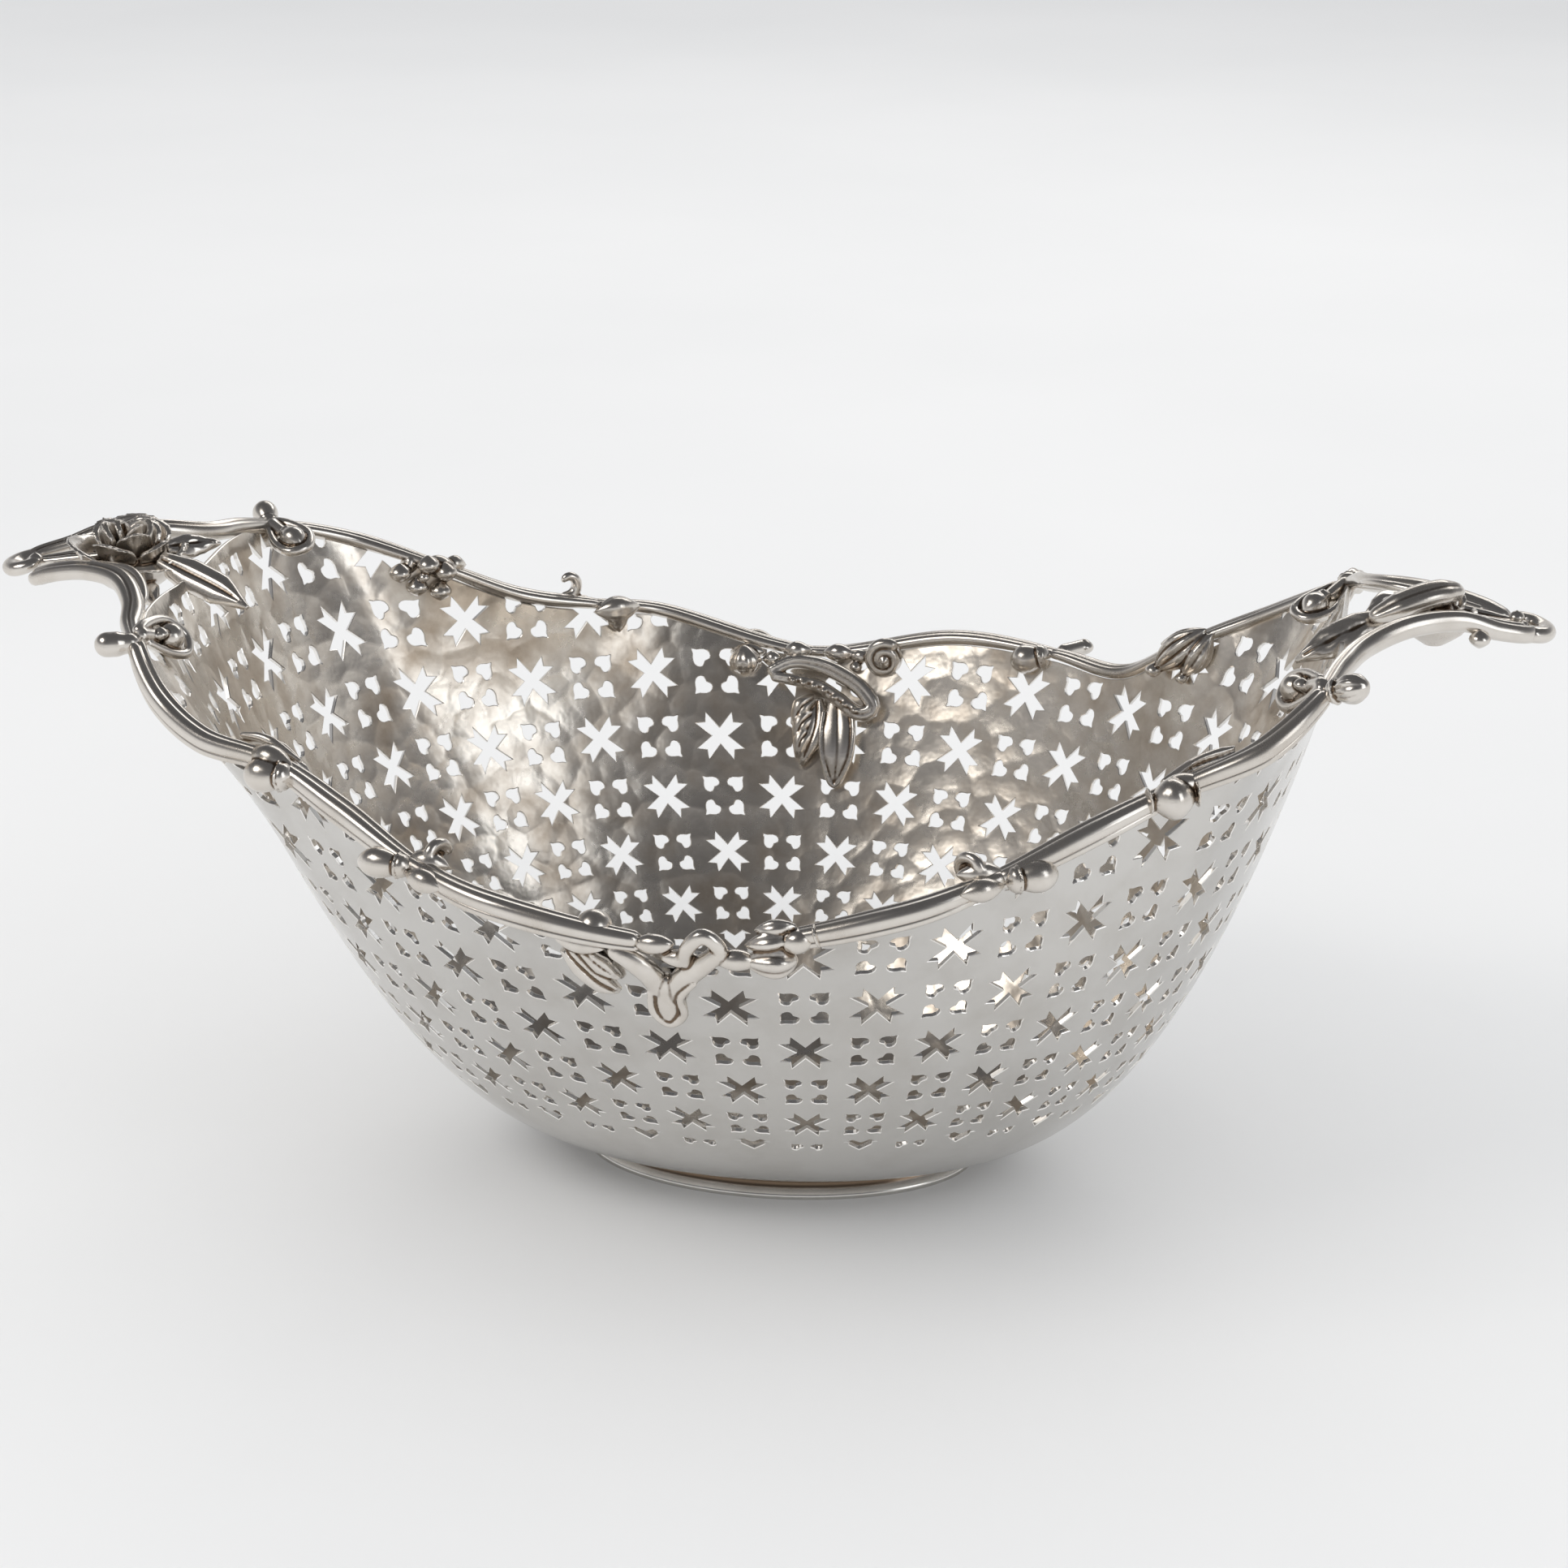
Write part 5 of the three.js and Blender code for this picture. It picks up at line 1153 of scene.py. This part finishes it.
def handle(side, long_quadrant, short_quadrant):
    half = 1 if side == "right" else -1
    reach = HANDLE_REACH
    flower = FLOWERS[side]

    def at(x, y, z):
        return np.array([half * (END_HALF_LENGTH + x), half * y, END_HEIGHT + z])

    def beyond(x, y, z):
        """A place from the oval's end, with y towards the far side at both ends."""
        return at(x, half * y, z)

    def name(piece):
        return "handle_%s_%s" % (piece, side)

    cast(name("tip"), [
        tube([at(35, -5.2, 1.8), at(reach - 0.6, -2.6, 1), at(reach + 0.1, 1.2, 0.8),
              at(reach - 2.2, 4.4, 1.4), at(reach - 5.4, 3.8, 2.4), at(reach - 5.6, 1.4, 3)],
             [(0, 2), (0.4, 2.2), (0.8, 1.7), (1, 1.3)], flat=0.85),
        ball(at(reach - 5.6, 2, 3), 1.7)])
    swept(name("long_bar"), [
        tube([station("knob_" + long_quadrant), at(-1.6, -31, 1.6), at(3, -21.6, 3.2),
              at(12.1, -14.3, 5.5), at(22, -10.3, 5.7), at(29, -8, 3.3), at(35, -5.2, 1.8),
              at(reach - 2.4, -2.4, 1.2)], [(0, 1.9), (0.2, 2.3), (0.6, 2.4), (0.85, 2.1), (1, 1.9)],
             steps=90, sides=28, reeds=BAR_GROOVES),
        ball(at(25.7, -11.6, 2.4), 2.2)])
    swept(name("short_bar"), [
        tube([station("knob_" + short_quadrant), at(3, 32.5, -0.2), at(4.9, 25, 1.8),
              at(10, 17, 4), at(18.6, 12, 4.2), at(27.5, 9.2, 2.4), at(33, 7.6, 0.2)],
             [(0, 1.9), (0.2, 2.4), (0.6, 2.7), (0.9, 2.6), (1, 2.3)], flat=0.82,
             steps=80, sides=28, reeds=BAR_GROOVES),
        tube([at(3.4, 29, 0.2), at(3.4, 22, 2.6), at(8.4, 13.6, 4.8), at(18, 8.8, 4.6),
              at(27, 6.4, 3)], (0.8, 1.1, 0.6), steps=50, sides=14)])

    rose = beyond(flower["rose"], -0.6, 1)
    petals = grown([petal(rose, flower["turn"] + turn, *shape) for turn, *shape in PETALS],
                   rose, flower["growth"])
    depth, radius = flower["heart"]
    heart = [egg(rose + UP * 0.5, rose + UP * 9, 1.2),
             egg(rose - UP * depth, rose + UP * 5, radius, round_power=0.6),
             egg(rose - UP * 0.4, rose + UP * 6.6, 4.4)]
    away = np.array([half, 1, 1])
    calyx = [leaf([rose + away * (5, 4, 0), rose + away * (8, 7, -0.2), rose + away * (10.4, 8, 0.4)],
                  UP, (1.8, 2.2, 0.3))]
    if side == "right":
        petals.append(tube(FOLDED_PETAL, [(0, 2), (0.25, 3.4), (0.7, 3.4), (1, 1.6)], flat=0.8,
                           reeds=((math.pi * 0.3, 0.3, 0.2),)))
    else:
        route = [rose - away * spot for spot in ((3, 6, 1), (6.2, 9.2, 1.8), (9.4, 12.4, 4))]
        calyx.insert(0, leaf(route, LEAF_FACE, (2.2, 3, 0.4), thickness=1,
                             veins=2))
    cast(name("rose"), petals + heart + calyx, voxel=0.3)

    inner = flower["rose"] + 5
    cast(name("stem"), [
        tube([at(reach - 4, 1.2, 2), at(30, 1.8, 2.6), at(inner, 2.2, 4.6)],
             (0.8, 1.1, 0.7)),
        tube([at(reach - 4, -0.4, 1.8), at(30, -1.4, 2.4), at(inner, -2.2, 4.2)],
             (0.8, 1.2, 0.7)),
        tube([at(reach - 3, 1, 1.4), at(30, 0.2, 1.8), at(inner - 2, 0, 3.6)],
             (1.3, 1.5))])
    cast(name("large_leaf"), [
        leaf([beyond(*spot) for spot in flower["large"]], LEAF_FACE,
             [(0, 2.2), (0.3, 3.9), (0.65, 3.7), (1, 0.5)], thickness=1.3, crease=0.5,
             veins=flower["veins"])])
    cast(name("small_leaf"), [
        leaf([beyond(*spot) for spot in flower["small"]], LEAF_FACE,
             [(0, 2.2), (0.45, 3.6), (1, 0.4)], thickness=1.1, cup=0.15, crease=0.5, veins=3,
             scallops=3)])


bowl()
foot()
rails()
knobs_and_scrolls()
knots()
joint_buds()
near_crest()
far_crest()
handle("right", "near_right", "far_right")
handle("left", "far_left", "near_left")


# Floor, light and camera

FLOOR_RADIUS = 6000
# Heights and colours of the sky that the camera and the silver see.
SKY = [(0.0, (0.86, 0.86, 0.85)), (0.12, (0.78, 0.78, 0.78)), (0.34, (0.24, 0.24, 0.25)),
       (0.6, (0.10, 0.10, 0.105)), (1.0, (0.08, 0.08, 0.085))]
WORLD_LIGHT = 0.88
# Each lamp's place, aim, size, watts and colour.
LAMPS = {
    "key": ((-0.75, -0.55, 1.05), (0, 0, 0.05), (0.7, 0.5), 3.6, (1.0, 0.97, 0.93)),
    "fill": ((1.1, -0.7, 0.7), (0, 0, 0.05), (0.5, 0.8), 2.2, (0.94, 0.97, 1.0)),
    "back": ((0.2, 1.2, 0.9), (0, 0, 0.08), (1.2, 0.35), 3.0, (1.0, 0.99, 0.97)),
}
CAMERA_PLACE = (0.1040, -0.7012, 0.3572)
CAMERA_DIRECTION = (-0.1299, 0.9245, -0.3584)
CAMERA_LENS = 81.9


def floor():
    material = bpy.data.materials.new("pale_floor")
    n = Nodes(material)
    grain = n.noise(n.add("TexCoord").outputs["Object"], 3.0, 4.0)
    colour = n.ramp(grain, [(0.35, (0.82, 0.82, 0.815)), (0.65, (0.85, 0.848, 0.842))])
    n.finish(n.add("BsdfPrincipled", {"Base Color": colour, "Roughness": 0.75}), "OutputMaterial")
    _, ring = circle(64)
    points = np.column_stack([ring * FLOOR_RADIUS, np.zeros(len(ring))])
    new_object("floor", points, [tuple(range(len(ring)))], material, smooth=False)


def sky():
    world = bpy.data.worlds.new("studio")
    bpy.context.scene.world = world
    n = Nodes(world)
    height = n.add("SeparateXYZ", {"Vector": n.add("TexCoord").outputs["Generated"]})
    shown = n.add("Background", {"Color": n.ramp(height.outputs["Z"], SKY), "Strength": 1.0})
    light = n.add("Background", {"Color": (0.97, 0.98, 1.0, 1), "Strength": WORLD_LIGHT})
    rays = n.add("LightPath").outputs
    seen = n.math("MAXIMUM", rays["Is Camera Ray"],
                  n.math("MAXIMUM", rays["Is Glossy Ray"], rays["Is Transmission Ray"]))
    n.finish(n.add("MixShader", {0: seen, 1: light.outputs[0], 2: shown.outputs[0]}), "OutputWorld")


def set_up(name, data, place, direction):
    obj = bpy.data.objects.new(name, data)
    bpy.context.scene.collection.objects.link(obj)
    obj.location = place
    obj.rotation_euler = Vector(direction).to_track_quat("-Z", "Y").to_euler()
    return obj


def lamps():
    for name, (place, aim, size, power, colour) in LAMPS.items():
        data = bpy.data.lights.new(name, "AREA")
        data.shape = "RECTANGLE"
        data.size, data.size_y = size
        data.energy = power
        data.color = colour
        set_up(name, data, place, Vector(aim) - Vector(place))


def camera():
    data = bpy.data.cameras.new("camera")
    data.lens = CAMERA_LENS
    data.sensor_width = 36
    data.clip_start, data.clip_end = 0.01, 50
    bpy.context.scene.camera = set_up("camera", data, CAMERA_PLACE, CAMERA_DIRECTION)


floor()
sky()
lamps()
camera()
bpy.context.scene.view_settings.view_transform = "Standard"

bpy.context.view_layer.update()
